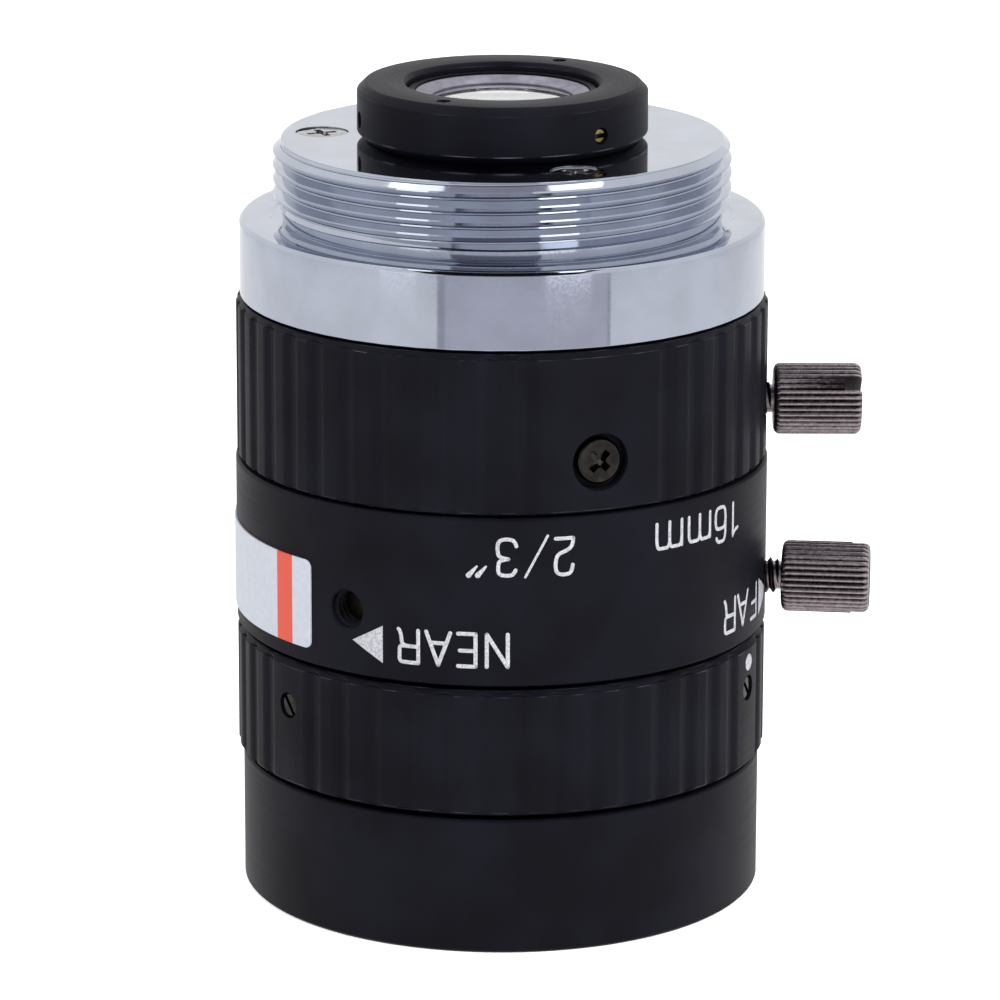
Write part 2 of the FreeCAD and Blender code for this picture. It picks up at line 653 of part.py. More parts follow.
def lens_barrel():
    """Cell of the front glass, with the iris compartment at its camera end."""
    body = turned([
        (front_bore_r, cell_low), (cell_r, cell_low), (cell_r, cell_top),
        (iris_cavity_r, cell_top), (iris_cavity_r, base_low), (cell_web_open_r, base_low),
        (cell_web_open_r, cell_web_low), (third_bore_r, cell_web_low),
        (third_bore_r, second_lens_top), (second_bore_r, second_lens_top),
        (second_bore_r, front_lens_top), (front_bore_r, front_lens_top)])
    window = lever_slot(iris_cavity_r, cell_r, lever_z - lever_room,
                        lever_z + FOCUS_TRAVEL + lever_room)
    key_room = GUIDE_KEY_R + THREAD_FIT
    keyway = Part.makeBox(GUIDE_KEY_DEPTH + FACE_FIT + OVERCUT, 2 * key_room,
                          cell_top + OVERCUT - lever_z + GUIDE_KEY_R,
                          FreeCAD.Vector(cell_r - GUIDE_KEY_DEPTH - FACE_FIT, -key_room,
                                         lever_z - key_room - FACE_FIT))
    keyway.rotate(ORIGIN, Z_AXIS, GUIDE_KEY_AZIMUTH - X_AZIMUTH)
    return body.cut([window, keyway])


def front_barrel():
    """Front housing, with the filter thread's bore and a flared mouth before the glass."""
    thread_top = front_low + FILTER_THREAD_H
    return turned([
        (front_seat_r, front_top), (front_seat_r, cell_low), (front_bore_r, cell_low),
        (filter_r - FILTER_ENTRY, thread_top), (filter_r, thread_top),
        (filter_r, front_low + FILTER_ENTRY), (filter_r + FILTER_ENTRY, front_low),
        (front_r - FRONT_EDGE, front_low), (front_r, front_low + FRONT_EDGE),
        (front_r, front_top - FRONT_EDGE), (front_r - FRONT_EDGE, front_top)])


def front_retaining_ring():
    """Ring that holds the front glass, sloped to clear its view."""
    outer = front_bore_r - THREAD_FIT
    inner = FRONT_LENS_R - SPACER_WALL
    return turned([(inner, front_lens_low), (outer, front_lens_low), (outer, front_ring_low),
                   (inner + SPACER_WALL / 2, front_ring_low)])


def front_glass():
    """The three elements in front of the iris, and the spacers between them."""
    spacer_bore_r = SECOND_LENS_R - SPACER_WALL
    front = glass(FRONT_LENS_R, front_lens_low, front_lens_top, FRONT_LENS_CURVES,
                  FRONT_LENS_R - SPACER_WALL, spacer_bore_r - GLASS_RIM)
    second = glass(SECOND_LENS_R, second_lens_low, second_lens_top, SECOND_LENS_CURVES,
                   spacer_bore_r, THIRD_LENS_R - SPACER_WALL)
    third = glass(THIRD_LENS_R, third_lens_low, third_lens_top, THIRD_LENS_CURVES,
                  THIRD_LENS_R - SPACER_WALL, cell_web_open_r - GLASS_FIT)
    front_spacer = tube(spacer_bore_r, SECOND_LENS_R, front_lens_top, second_lens_low)
    middle_spacer = tube(THIRD_LENS_R - SPACER_WALL, THIRD_LENS_R, second_lens_top, third_lens_low)
    return {"front_lens": front, "second_lens": second, "third_lens": third,
            "front_spacer": front_spacer, "middle_spacer": middle_spacer}


def rear_cell():
    """Cell of the glass behind the iris, screwed into the camera end of the lens barrel."""
    flange_r = iris_cavity_r - THREAD_FIT
    lip_low = REAR_CELL_TOP - REAR_CELL_LIP_H
    seat_r = REAR_GROUP_R - SPACER_WALL / 2
    return turned([
        (doublet_bore_r, rear_cell_foot_low), (rear_cell_foot_r, rear_cell_foot_low),
        (rear_cell_foot_r, rear_flange_low), (flange_r, rear_flange_low), (flange_r, cell_top),
        (rear_tube_r, cell_top), (rear_tube_r, lip_low), (rear_cell_lip_r, lip_low),
        (rear_cell_lip_r, REAR_CELL_TOP),
        (rear_bore_r, REAR_CELL_TOP), (rear_bore_r, sixth_lens_low), (seat_r, sixth_lens_low),
        (seat_r, flint_top), (doublet_bore_r, flint_top)])


def rear_glass():
    """The elements behind the iris, with the spacer and the rings that hold them."""
    doublet_clear = DOUBLET_R - SPACER_WALL
    rear_clear = REAR_GROUP_R - SPACER_WALL
    crown = glass(DOUBLET_R, crown_low, flint_low, (CROWN_CURVE, CEMENT_CURVE), doublet_clear,
                  DOUBLET_R)
    flint = glass(DOUBLET_R, flint_low, flint_top, (-CEMENT_CURVE, FLINT_CURVE), DOUBLET_R,
                  REAR_GROUP_R - SPACER_WALL / 2 - GLASS_FIT)
    sixth = glass(REAR_GROUP_R, sixth_lens_low, sixth_lens_top, SIXTH_LENS_CURVES, rear_clear,
                  rear_clear)
    ring_bore_r = REAR_GROUP_R - REAR_RING_INNER_WALL
    rear = glass(REAR_GROUP_R, rear_lens_low, rear_ring_seat, REAR_LENS_CURVES, rear_clear,
                 ring_bore_r)
    rear_spacer = tube(rear_clear, REAR_GROUP_R, sixth_lens_top, rear_lens_low)
    doublet_ring = tube(doublet_clear, doublet_bore_r - THREAD_FIT, doublet_ring_low, crown_low)
    ring_top = REAR_CELL_TOP - FACE_FIT
    retaining = turned([(ring_bore_r, rear_ring_seat), (rear_bore_r - THREAD_FIT, rear_ring_seat),
                        (rear_bore_r - THREAD_FIT, ring_top),
                        (ring_bore_r, ring_top - REAR_RING_INNER_SLOPE)])
    return {"crown_element": crown, "flint_element": flint, "sixth_lens": sixth,
            "rear_lens": rear, "rear_spacer": rear_spacer, "doublet_retaining_ring": doublet_ring,
            "rear_retaining_ring": retaining}


def polar(radius, angle, z=0.0):
    """Point in the iris plane, with the angle measured from +X."""
    turn = math.radians(angle)
    return FreeCAD.Vector(radius * math.cos(turn), radius * math.sin(turn), z)


def iris_base_plate():
    """Plate with the five holes that the blades pivot in."""
    plate = tube(cell_web_open_r, iris_cavity_r - THREAD_FIT, base_low, base_top)
    holes = []
    for n in range(BLADE_COUNT):
        centre = polar(blade_pivot_r, 360.0 / BLADE_COUNT * n, base_low - OVERCUT)
        holes.append(Part.makeCylinder(BLADE_PIVOT_PIN_R + PIN_FIT, BASE_PLATE_H + 2 * OVERCUT, centre))
    return plate.cut(holes)


def iris_blade(n):
    """One thin curved blade, with a pivot pin below it and a drive pin above it."""
    low = blades_low + BLADE_PITCH * n
    lug_angle = math.degrees(BLADE_LUG / blade_pivot_r)
    band = arc_block(iris_open_r, blade_band_r, low, low + BLADE_T, X_AZIMUTH - lug_angle,
                     X_AZIMUTH + BLADE_SPAN)
    lug = arc_block(blade_band_r - BLADE_BAND / 4, blade_pivot_r, low, low + BLADE_T,
                    X_AZIMUTH - lug_angle, X_AZIMUTH + BLADE_DRIVE_ANGLE + lug_angle)
    pivot = polar(blade_pivot_r, 0, low)
    drive = polar(blade_drive_r, BLADE_DRIVE_ANGLE, low)
    tail = polar(iris_open_r + BLADE_BAND / 2, BLADE_SPAN, low)
    pivot_pin_low = base_low + FACE_FIT / 2
    drive_pin_high = cam_web_top - FACE_FIT
    pieces = [lug, Part.makeCylinder(BLADE_LUG, BLADE_T, pivot),
              Part.makeCylinder(BLADE_LUG, BLADE_T, drive),
              Part.makeCylinder(BLADE_BAND / 2, BLADE_T, tail),
              Part.makeCylinder(BLADE_PIVOT_PIN_R, low - pivot_pin_low,
                                FreeCAD.Vector(pivot.x, pivot.y, pivot_pin_low)),
              Part.makeCylinder(BLADE_DRIVE_PIN_R, drive_pin_high - low - BLADE_T,
                                FreeCAD.Vector(drive.x, drive.y, low + BLADE_T))]
    blade = band.fuse(pieces).removeSplitter()
    blade.rotate(ORIGIN, Z_AXIS, 360.0 / BLADE_COUNT * n)
    return blade


def drive_pin_path(turn):
    """Where a drive pin lies in the cam, once the cam has turned by an angle."""
    pivot = polar(blade_pivot_r, 0)
    arm = polar(blade_drive_r, BLADE_DRIVE_ANGLE) - pivot
    swing = FreeCAD.Rotation(Z_AXIS, turn * BLADE_RATIO)
    return FreeCAD.Rotation(Z_AXIS, -turn).multVec(pivot + swing.multVec(arm))


def cam_slot():
    """Cutter for the curved slot that the path of a drive pin needs."""
    half = BLADE_DRIVE_PIN_R + PIN_FIT
    turns = [IRIS_TURN * n / SLOT_STEPS for n in range(SLOT_STEPS + 1)]
    sides = ([], [])
    for turn in turns:
        here = drive_pin_path(turn)
        along = drive_pin_path(turn + 0.01) - drive_pin_path(turn - 0.01)
        across = Z_AXIS.cross(along.normalize()) * half
        sides[0].append(here + across)
        sides[1].append(here - across)
    caps = []
    for turn, step in ((turns[-1], 0.01), (turns[0], -0.01)):
        forward = (drive_pin_path(turn + step) - drive_pin_path(turn)).normalize()
        caps.append(drive_pin_path(turn) + forward * half)
    left = Part.BSplineCurve()
    left.interpolate(sides[0])
    right = Part.BSplineCurve()
    right.interpolate(sides[1][::-1])
    outline = Part.Wire([left.toShape(), Part.Arc(sides[0][-1], caps[0], sides[1][-1]).toShape(),
                         right.toShape(), Part.Arc(sides[1][0], caps[1], sides[0][0]).toShape()])
    face = Part.Face(outline)
    face.translate(FreeCAD.Vector(0, 0, cam_web_low - OVERCUT / 4))
    return face.extrude(FreeCAD.Vector(0, 0, CAM_WEB_H + OVERCUT / 4))


def iris_cam():
    """Slotted cam that swings the blades, with a fork groove for the lever screw."""
    body = turned([
        (iris_open_r - CAM_OPEN_MARGIN, cam_web_low), (cam_r, cam_web_low), (cam_r, cam_top),
        (cam_sleeve_bore_r, cam_top), (cam_sleeve_bore_r, cam_web_top),
        (iris_open_r - CAM_OPEN_MARGIN, cam_web_top)])
    slot = cam_slot()
    cutters = []
    for n in range(BLADE_COUNT):
        cutter = slot.copy()
        cutter.rotate(ORIGIN, Z_AXIS, 360.0 / BLADE_COUNT * n)
        cutters.append(cutter)
    fork = lever_tip_r + PIN_FIT
    groove_low = lever_z - lever_room
    groove = Part.makeBox(CAM_SLEEVE_WALL + OVERCUT, 2 * fork, cam_top + OVERCUT - groove_low,
                          FreeCAD.Vector(cam_sleeve_bore_r - OVERCUT / 2, -fork, groove_low))
    groove.rotate(ORIGIN, Z_AXIS, LEVER_SCREW_AZIMUTH - X_AZIMUTH)
    return body.cut(cutters + [groove])


def lock_screw(seat_r, outer_r, standoff):
    """Knurled thumb screw with a slotted end, drawn with its length along +Z."""
    head_r = LOCK_HEAD_D / 2
    shaft_r = LOCK_SCREW_D / 2
    tip = seat_r + FACE_FIT + LOCK_PAD_LENGTH
    head_low = outer_r + standoff
    head_high = head_low + LOCK_HEAD_LENGTH
    body = turned([
        (0, tip), (shaft_r, tip), (shaft_r, head_low), (head_r - LOCK_HEAD_EDGE, head_low),
        (head_r, head_low + LOCK_HEAD_EDGE), (head_r, head_high - LOCK_HEAD_EDGE),
        (head_r - LOCK_HEAD_EDGE, head_high), (0, head_high)])
    half = math.pi * head_r / KNURL_COUNT * KNURL_SHARE
    corners = [(head_r - KNURL_DEPTH, 0), (head_r, half), (head_r + KNURL_DEPTH, half),
               (head_r + KNURL_DEPTH, -half), (head_r, -half), (head_r - KNURL_DEPTH, 0)]
    outline = [FreeCAD.Vector(x, y, head_low) for x, y in corners]
    groove = Part.Face(Part.makePolygon(outline))
    groove = groove.extrude(FreeCAD.Vector(0, 0, LOCK_HEAD_LENGTH))
    cutters = []
    for azimuth in around(0, KNURL_COUNT):
        cutter = groove.copy()
        cutter.rotate(ORIGIN, Z_AXIS, azimuth)
        cutters.append(cutter)
    slot = slot_cutter(head_r, LOCK_SLOT_WIDTH, LOCK_SLOT_DEPTH)
    slot.translate(FreeCAD.Vector(0, 0, head_high))
    return body.cut(cutters).cut(slot)


def lock_pad(seat_r):
    """Soft pad at the thumb screw's tip, which presses on the surface below it."""
    return turned([(0, seat_r + PIN_FIT), (LOCK_PAD_D / 2, seat_r + PIN_FIT),
                   (LOCK_PAD_D / 2, seat_r + PIN_FIT + LOCK_PAD_LENGTH),
                   (0, seat_r + PIN_FIT + LOCK_PAD_LENGTH)])


def build():
    """Every piece of the lens by the name of its node."""
    iris_lock_z = iris_top - IRIS_LOCK_DROP
    nodes = {
        "main_barrel": main_barrel(), "c_mount": c_mount(), "mount_screws": mount_screws(),
        "rear_ring": rear_ring(), "rear_ring_screws": rear_ring_screws(),
        "sleeve_retainer": sleeve_retainer(), "guide_key": guide_key(), "label": label(),
        "focus_ring": focus_ring(), "focus_sleeve": focus_sleeve(),
        "focus_ring_screws": focus_ring_screws(), "lens_barrel": lens_barrel(),
        "front_barrel": front_barrel(), "front_retaining_ring": front_retaining_ring(),
        "rear_cell": rear_cell(), "iris_base_plate": iris_base_plate(), "iris_cam": iris_cam(),
        "iris_ring": iris_ring(), "iris_lever_screw": iris_lever_screw()}
    nodes.update(front_glass())
    nodes.update(rear_glass())
    for n in range(BLADE_COUNT):
        nodes["iris_blade_%d" % (n + 1)] = iris_blade(n)
    nodes["iris_lock_pad"] = on_side(lock_pad(iris_journal_r), 0, IRIS_LOCK_AZIMUTH, iris_lock_z)
    nodes["iris_lock_screw"] = on_side(
        lock_screw(iris_journal_r, iris_ring_r, IRIS_LOCK_STANDOFF), 0, IRIS_LOCK_AZIMUTH,
        iris_lock_z, IRIS_LOCK_SLOT_TURN)
    nodes["focus_lock_pad"] = on_side(lock_pad(sleeve_flange_r), 0, FOCUS_LOCK_AZIMUTH, focus_lock_z)
    nodes["focus_lock_screw"] = on_side(
        lock_screw(sleeve_flange_r, middle_r, FOCUS_LOCK_STANDOFF), 0, FOCUS_LOCK_AZIMUTH,
        focus_lock_z, FOCUS_LOCK_SLOT_TURN)
    return nodes


os.makedirs("parts", exist_ok=True)
for name, shape in build().items():
    if not shape.isValid() or shape.Volume <= 0:
        raise RuntimeError("The piece %s is not a sound solid." % name)
    shape.exportStep("parts/%s.step" % name)
    print("%-24s %d solid(s)  %9.3f mm3" % (name, len(shape.Solids), shape.Volume))
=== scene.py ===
import json
import math

import bmesh
import bpy
from mathutils import Matrix, Vector


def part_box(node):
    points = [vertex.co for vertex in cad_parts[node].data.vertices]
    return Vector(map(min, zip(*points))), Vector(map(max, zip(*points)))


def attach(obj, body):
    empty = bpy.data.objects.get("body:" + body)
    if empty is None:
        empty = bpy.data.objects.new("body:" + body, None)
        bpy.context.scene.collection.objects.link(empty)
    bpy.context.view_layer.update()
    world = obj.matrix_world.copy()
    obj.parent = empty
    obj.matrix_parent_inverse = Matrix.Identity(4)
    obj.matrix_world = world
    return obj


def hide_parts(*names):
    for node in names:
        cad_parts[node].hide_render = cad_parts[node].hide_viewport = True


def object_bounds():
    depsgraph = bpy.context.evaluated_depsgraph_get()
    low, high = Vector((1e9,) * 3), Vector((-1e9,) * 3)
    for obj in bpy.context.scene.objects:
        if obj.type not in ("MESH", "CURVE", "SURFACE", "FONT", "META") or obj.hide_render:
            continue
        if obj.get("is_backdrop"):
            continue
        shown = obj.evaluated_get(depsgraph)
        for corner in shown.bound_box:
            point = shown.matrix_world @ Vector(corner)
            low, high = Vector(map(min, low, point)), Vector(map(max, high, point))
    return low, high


bl_info = {
    "name": "Machine vision lens",
    "version": (1, 0, 0),
    "blender": (4, 5, 0),
    "location": "View3D > Sidebar > Lens",
    "description": "Models a C-mount lens with fluted rings, engraved marks and thumb screws.",
    "category": "Object",
}

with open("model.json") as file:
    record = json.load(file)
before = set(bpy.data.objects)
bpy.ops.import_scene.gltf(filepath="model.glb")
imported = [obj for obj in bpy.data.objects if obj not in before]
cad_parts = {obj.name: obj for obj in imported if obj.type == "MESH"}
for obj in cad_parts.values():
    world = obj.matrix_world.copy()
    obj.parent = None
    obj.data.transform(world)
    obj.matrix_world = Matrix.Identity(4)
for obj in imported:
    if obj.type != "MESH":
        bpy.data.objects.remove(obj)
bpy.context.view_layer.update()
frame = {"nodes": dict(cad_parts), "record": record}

# Lengths in this file are in millimetres, and the frame is in metres
MM = 0.001
FULL_TURN = 2 * math.pi
# Azimuths are in degrees from -Y towards +X
X_AZIMUTH = 90.0
# Points of a mesh that are closer than this are one
WELD = 1e-5
# Steps round the large turned parts, and how far their corners are rounded
ROUND = 256
SOFT = 0.03
# Steps round a small hole
HOLE_STEPS = 48

# Names of the bodies of the frame
FIXED = "fixed_barrel"
FOCUS = "focus_ring_body"
UNIT = "lens_unit"
IRIS = "iris_ring_body"


def linear(code, alpha=1.0):
    """Linear colour from an sRGB hex value such as #8899AA."""
    channels = [int(code[start:start + 2], 16) / 255 for start in (1, 3, 5)]
    return tuple(c / 12.92 if c <= 0.04045 else ((c + 0.055) / 1.055) ** 2.4
                 for c in channels) + (alpha,)


def reach(node):
    """Lowest and highest corner of a node of the frame, in millimetres."""
    low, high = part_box(node)
    return low / MM, high / MM


def radius_of(node):
    """Outer radius of a turned node of the frame, in millimetres."""
    low, high = reach(node)
    return (high.y - low.y) / 2


def spot(radius, azimuth, z=0.0):
    """Point round the optical axis; azimuth 0 faces -Y and grows towards +X."""
    turn = math.radians(azimuth)
    return Vector((radius * math.sin(turn), -radius * math.cos(turn), z))


def facing_out(radius, azimuth, z, turn=0.0):
    """Matrix that puts a shape whose top faces +Z on the side of the lens."""
    outward = spot(1, azimuth)
    right = spot(1, azimuth + X_AZIMUTH)
    place = Matrix((right, Vector((0, 0, 1)), outward)).transposed().to_4x4()
    place.translation = outward * radius + Vector((0, 0, z))
    return place @ Matrix.Rotation(math.radians(turn), 4, "Z")


def facing_up(radius, azimuth, z, turn=0.0):
    """Matrix that puts a shape whose top faces +Z on an upward face."""
    return (Matrix.Translation(spot(radius, azimuth, z))
            @ Matrix.Rotation(math.radians(azimuth + turn), 4, "Z"))


def spun(bm, steps, weld=WELD):
    """Body that an outline in the XZ plane makes when it turns about Z."""
    bmesh.ops.spin(bm, geom=bm.verts[:] + bm.edges[:], cent=(0, 0, 0), axis=(0, 0, 1),
                   dvec=(0, 0, 0), angle=FULL_TURN, steps=steps, use_merge=True)
    bmesh.ops.remove_doubles(bm, verts=bm.verts[:], dist=weld)
    bmesh.ops.recalc_face_normals(bm, faces=bm.faces[:])
    return bm


def turned(outline, steps=192, soft=0.0):
    """Body turned about Z from a closed outline of (radius, z) points.

    soft rounds the corners of the outline by that much.
    """
    bm = bmesh.new()
    corners = [bm.verts.new((radius, 0, z)) for radius, z in outline]
    for start, end in zip(corners, corners[1:] + corners[:1]):
        bm.edges.new((start, end))
    if soft:
        off_axis = [v for v in corners if v.co.x > WELD / 10]
        bmesh.ops.bevel(bm, geom=off_axis, offset=soft, offset_type="OFFSET",
                        affect="VERTICES", segments=3, profile=0.5, material=-1,
                        clamp_overlap=True)
    return spun(bm, steps)


def helix(root, crest, foot, top, pitch, steps, bury=0.25):
    """Closed thread ridge wound round Z between two heights, with tapered ends."""
    bm = bmesh.new()
    inside = root - math.copysign(bury, crest - root)
    flat = pitch / 8
    flank = pitch / 2 - flat
    outline = [(inside, -pitch / 2), (root, -pitch / 2), (crest, -flat / 2), (crest, flat / 2),
               (root, flank), (inside, flank)]
    corners = [bm.verts.new((radius, 0, foot - pitch / 2 + z)) for radius, z in outline]
    bm.faces.new(corners)
    turns = (top - foot) / pitch + 1
    bmesh.ops.spin(bm, geom=bm.faces[:], cent=(0, 0, 0), axis=(0, 0, 1),
                   dvec=(0, 0, pitch / steps), angle=FULL_TURN * turns,
                   steps=round(steps * turns), use_merge=False)
    depth = crest - root
    for v in bm.verts:
        radius = math.hypot(v.co.x, v.co.y)
        room = min(v.co.z - foot, top - v.co.z)
        share = max(0.0, min(1.0, room / abs(depth)))
        limit = root + depth * share
        over = radius > limit if depth > 0 else radius < limit
        if room < 0:
            limit = inside
            over = True
        if over:
            v.co.xy *= limit / radius
        v.co.z = max(foot, min(top, v.co.z))
    bmesh.ops.dissolve_degenerate(bm, dist=WELD, edges=bm.edges[:])
    bmesh.ops.recalc_face_normals(bm, faces=bm.faces[:])
    return bm


def bar(radius, low, high, steps=HOLE_STEPS):
    """Round bar along Z between two heights."""
    bm = bmesh.new()
    bmesh.ops.create_cone(bm, cap_ends=True, segments=steps, radius1=radius, radius2=radius,
                          depth=high - low, matrix=Matrix.Translation((0, 0, (low + high) / 2)))
    return bm


def block(width, depth, low, high, taper=1.0):
    """Box round Z between two heights; taper narrows its lower end."""
    bm = bmesh.new()
    bmesh.ops.create_cube(bm, size=1.0)
    for v in bm.verts:
        share = taper if v.co.z < 0 else 1.0
        v.co = Vector((v.co.x * width * share, v.co.y * depth * share,
                       low if v.co.z < 0 else high))
    return bm


def moved(bm, place):
    """The same mesh, put in its place."""
    bmesh.ops.transform(bm, matrix=place, verts=bm.verts[:])
    return bm


def mesh_of(bm, name):
    """Mesh with the shape of a bmesh, which is then freed."""
    mesh = bpy.data.meshes.new(name)
    bm.to_mesh(mesh)
    bm.free()
    return mesh


def placed(name, data):
    """New object of the scene for a mesh, curve, lamp or camera."""
    thing = bpy.data.objects.new(name, data)
    bpy.context.scene.collection.objects.link(thing)
    return thing


def joined(*shapes):
    """One bmesh that holds several."""
    whole = shapes[0]
    for other in shapes[1:]:
        mesh = mesh_of(other, "joining")
        whole.from_mesh(mesh)
        bpy.data.meshes.remove(mesh)
    return whole


def carved(bm, cutters):
    """The mesh with the shapes in cutters taken away."""
    body = placed("carved_body", mesh_of(bm, "carved_body"))
    tools = []
    for cutter in cutters:
        bmesh.ops.recalc_face_normals(cutter, faces=cutter.faces[:])
        tools.append(placed("carving_tool", mesh_of(cutter, "carving_tool")))
        step = body.modifiers.new("carve", "BOOLEAN")
        step.operation = "DIFFERENCE"
        step.solver = "EXACT"
        step.object = tools[-1]
    view = bpy.context.evaluated_depsgraph_get()
    result = bpy.data.meshes.new_from_object(body.evaluated_get(view), depsgraph=view)
    out = bmesh.new()
    out.from_mesh(result)
    if not out.faces:
        raise RuntimeError("Nothing was left after carving.")
    bpy.data.meshes.remove(result)
    for thing in [body] + tools:
        mesh = thing.data
        bpy.data.objects.remove(thing)
        bpy.data.meshes.remove(mesh)
    return out


def soften(bm, width, angle=25.0, worn_and_lit=1.0, where=lambda edge: True):
    """Rounds the edges sharper than an angle and marks the middle of each for pale metal, which is
    rubbing on the grip rings and a painted highlight as well on the rear ring's lower edge.
    """
    wear_and_highlight = bm.verts.layers.float.get("wear_and_highlight") or bm.verts.layers.float.new("wear_and_highlight")
    limit = math.radians(angle)
    edges = [e for e in bm.edges
             if len(e.link_faces) == 2 and e.calc_face_angle(0) > limit and where(e)]
    made = bmesh.ops.bevel(bm, geom=edges, offset=width, offset_type="OFFSET", affect="EDGES",
                           segments=2, profile=0.5, material=-1, clamp_overlap=True)
    fresh = set(made["faces"])
    for v in made["verts"]:
        if all(face in fresh for face in v.link_faces):
            v[wear_and_highlight] = worn_and_lit
    return bm


# Material of each slot of the record
SLOT_MATERIALS = {
    "black_anodised": "black_anodised_aluminium", "bright_plate": "bright_nickel_plate",
    "nickel_screw": "nickel_plated_steel", "brass_screw": "turned_brass",
    "steel_pin": "ground_steel", "sticker": "white_vinyl_film", "brass_sleeve": "blackened_brass",
    "black_screw": "black_oxide_steel", "glass": "coated_optical_glass",
    "grey_ring": "grey_anodised_aluminium", "blade_steel": "blackened_spring_steel",
    "dark_nickel": "dark_nickel_plate", "nylon": "natural_nylon"}

# Edges that bend by less than this are shaded smooth, in degrees
SMOOTH_BELOW = 28.0


def piece(bm, name, body, slot, node=None, material=None):
    """Finished piece of the lens, which rides on a body and may replace a node of the frame."""
    bmesh.ops.transform(bm, matrix=Matrix.Scale(MM, 4), verts=bm.verts[:])
    limit = math.radians(SMOOTH_BELOW)
    for face in bm.faces:
        face.smooth = True
    for edge in bm.edges:
        edge.smooth = len(edge.link_faces) == 2 and edge.calc_face_angle(0) < limit
    mesh = mesh_of(bm, name)
    mesh.materials.append(bpy.data.materials[material or SLOT_MATERIALS[slot]])
    thing = placed(name, mesh)
    # Large faces stay flat up to the rounding of their edges, which a mirror shows at once
    even = thing.modifiers.new("even_shading", "WEIGHTED_NORMAL")
    even.keep_sharp = True
    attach(thing, body)
    if node:
        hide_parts(node)


def add(tree, kind, inputs=None, output=0, **settings):
    """Adds a shader node and gives one of its outputs; inputs holds values or outputs."""
    node = tree.nodes.new("ShaderNode" + kind)
    for key, value in settings.items():
        setattr(node, key, value)
    for key, value in (inputs or {}).items():
        if isinstance(value, bpy.types.NodeSocket):
            tree.links.new(value, node.inputs[key])
        else:
            node.inputs[key].default_value = value
    return node.outputs[output] if len(node.outputs) else None


def new_material(name):
    """Node tree of a new material, with nothing in it yet."""
    material = bpy.data.materials.new(name)
    material.use_nodes = True
    material.node_tree.nodes.clear()
    return material.node_tree


# Where most of a noise lies, which a material spreads over a range of its own
SWING = {"From Min": 0.35, "From Max": 0.65}
# Sockets of a Mix node for its two colours, and how it is set to mix them
FIRST, SECOND = 6, 7
COLOURS = {"output": 2, "data_type": "RGBA"}


def chosen(name):
    """Colour that a user may change, as a node takes it."""
    return (*getattr(bpy.context.scene.lens_colours, name), 1)


def black_anodised(name, bare_and_highlight):
    """Black anodised aluminium: turned, lightly blasted and dyed, so satin and nearly neutral.

    The second argument is how much pale metal shows where the mesh marks an edge: rubbed metal,
    and on the rear ring's lower edge a painted highlight as well.
    """
    tree = new_material(name)
    place = add(tree, "TexCoord", output="Object")
    # The dye takes a little unevenly over some 5 mm
    cloud = add(tree, "TexNoise", {"Vector": place, "Scale": 1 / (5 * MM)})
    share = add(tree, "MapRange", {"Value": cloud, **SWING})
    dye = add(tree, "Mix", {"Factor": share, FIRST: chosen("anodised_dark"),
                            SECOND: chosen("anodised_light")}, **COLOURS)
    if bare_and_highlight:
        # Patches of pale metal of about 1.5 mm, only where the mesh marks an edge: rubbing, which
        # on the rear ring's lower edge also paints a highlight
        edge = add(tree, "Attribute", output="Fac", attribute_name="wear_and_highlight")
        rub_and_shine = add(tree, "TexNoise", {"Vector": place, "Scale": 1 / (1.5 * MM), "Detail": 4.0})
        patch = add(tree, "MapRange", {"Value": rub_and_shine, "From Min": 0.42, "From Max": 0.68,
                                       "To Max": bare_and_highlight})
        worn_and_lit = add(tree, "Math", {0: edge, 1: patch}, operation="MULTIPLY")
        dye = add(tree, "Mix", {"Factor": worn_and_lit, FIRST: dye, SECOND: linear("#8C8C92")},
                  **COLOURS)
    # Tool rings 0.09 mm apart run round the axis, under a blasted grain of 0.07 mm
    flat = add(tree, "VectorMath", {0: place, 1: (1, 1, 0)}, operation="MULTIPLY")
    radius = add(tree, "VectorMath", {0: flat}, "Value", operation="LENGTH")
    height = add(tree, "SeparateXYZ", {0: place}, "Z")
    rings = add(tree, "CombineXYZ", {"X": radius, "Y": height})
    drift = add(tree, "VectorMath", {0: flat, 1: (0.02, 0.02, 0), 2: rings},
                operation="MULTIPLY_ADD")
    turning = add(tree, "TexNoise", {"Vector": drift, "Scale": 1 / (0.09 * MM)})
    blast = add(tree, "TexNoise", {"Vector": place, "Scale": 1 / (0.07 * MM)})
    gloss = add(tree, "MapRange", {"Value": turning, **SWING, "To Min": 0.4, "To Max": 0.46})
    both = add(tree, "Math", {0: turning, 1: blast}, operation="ADD")
    bump = add(tree, "Bump", {"Height": both, "Strength": 0.12, "Distance": 0.004 * MM})
    shader = add(tree, "BsdfPrincipled", {
        "Base Color": dye, "Roughness": gloss, "Specular IOR Level": 0.07, "Normal": bump})
    add(tree, "OutputMaterial", {"Surface": shader})


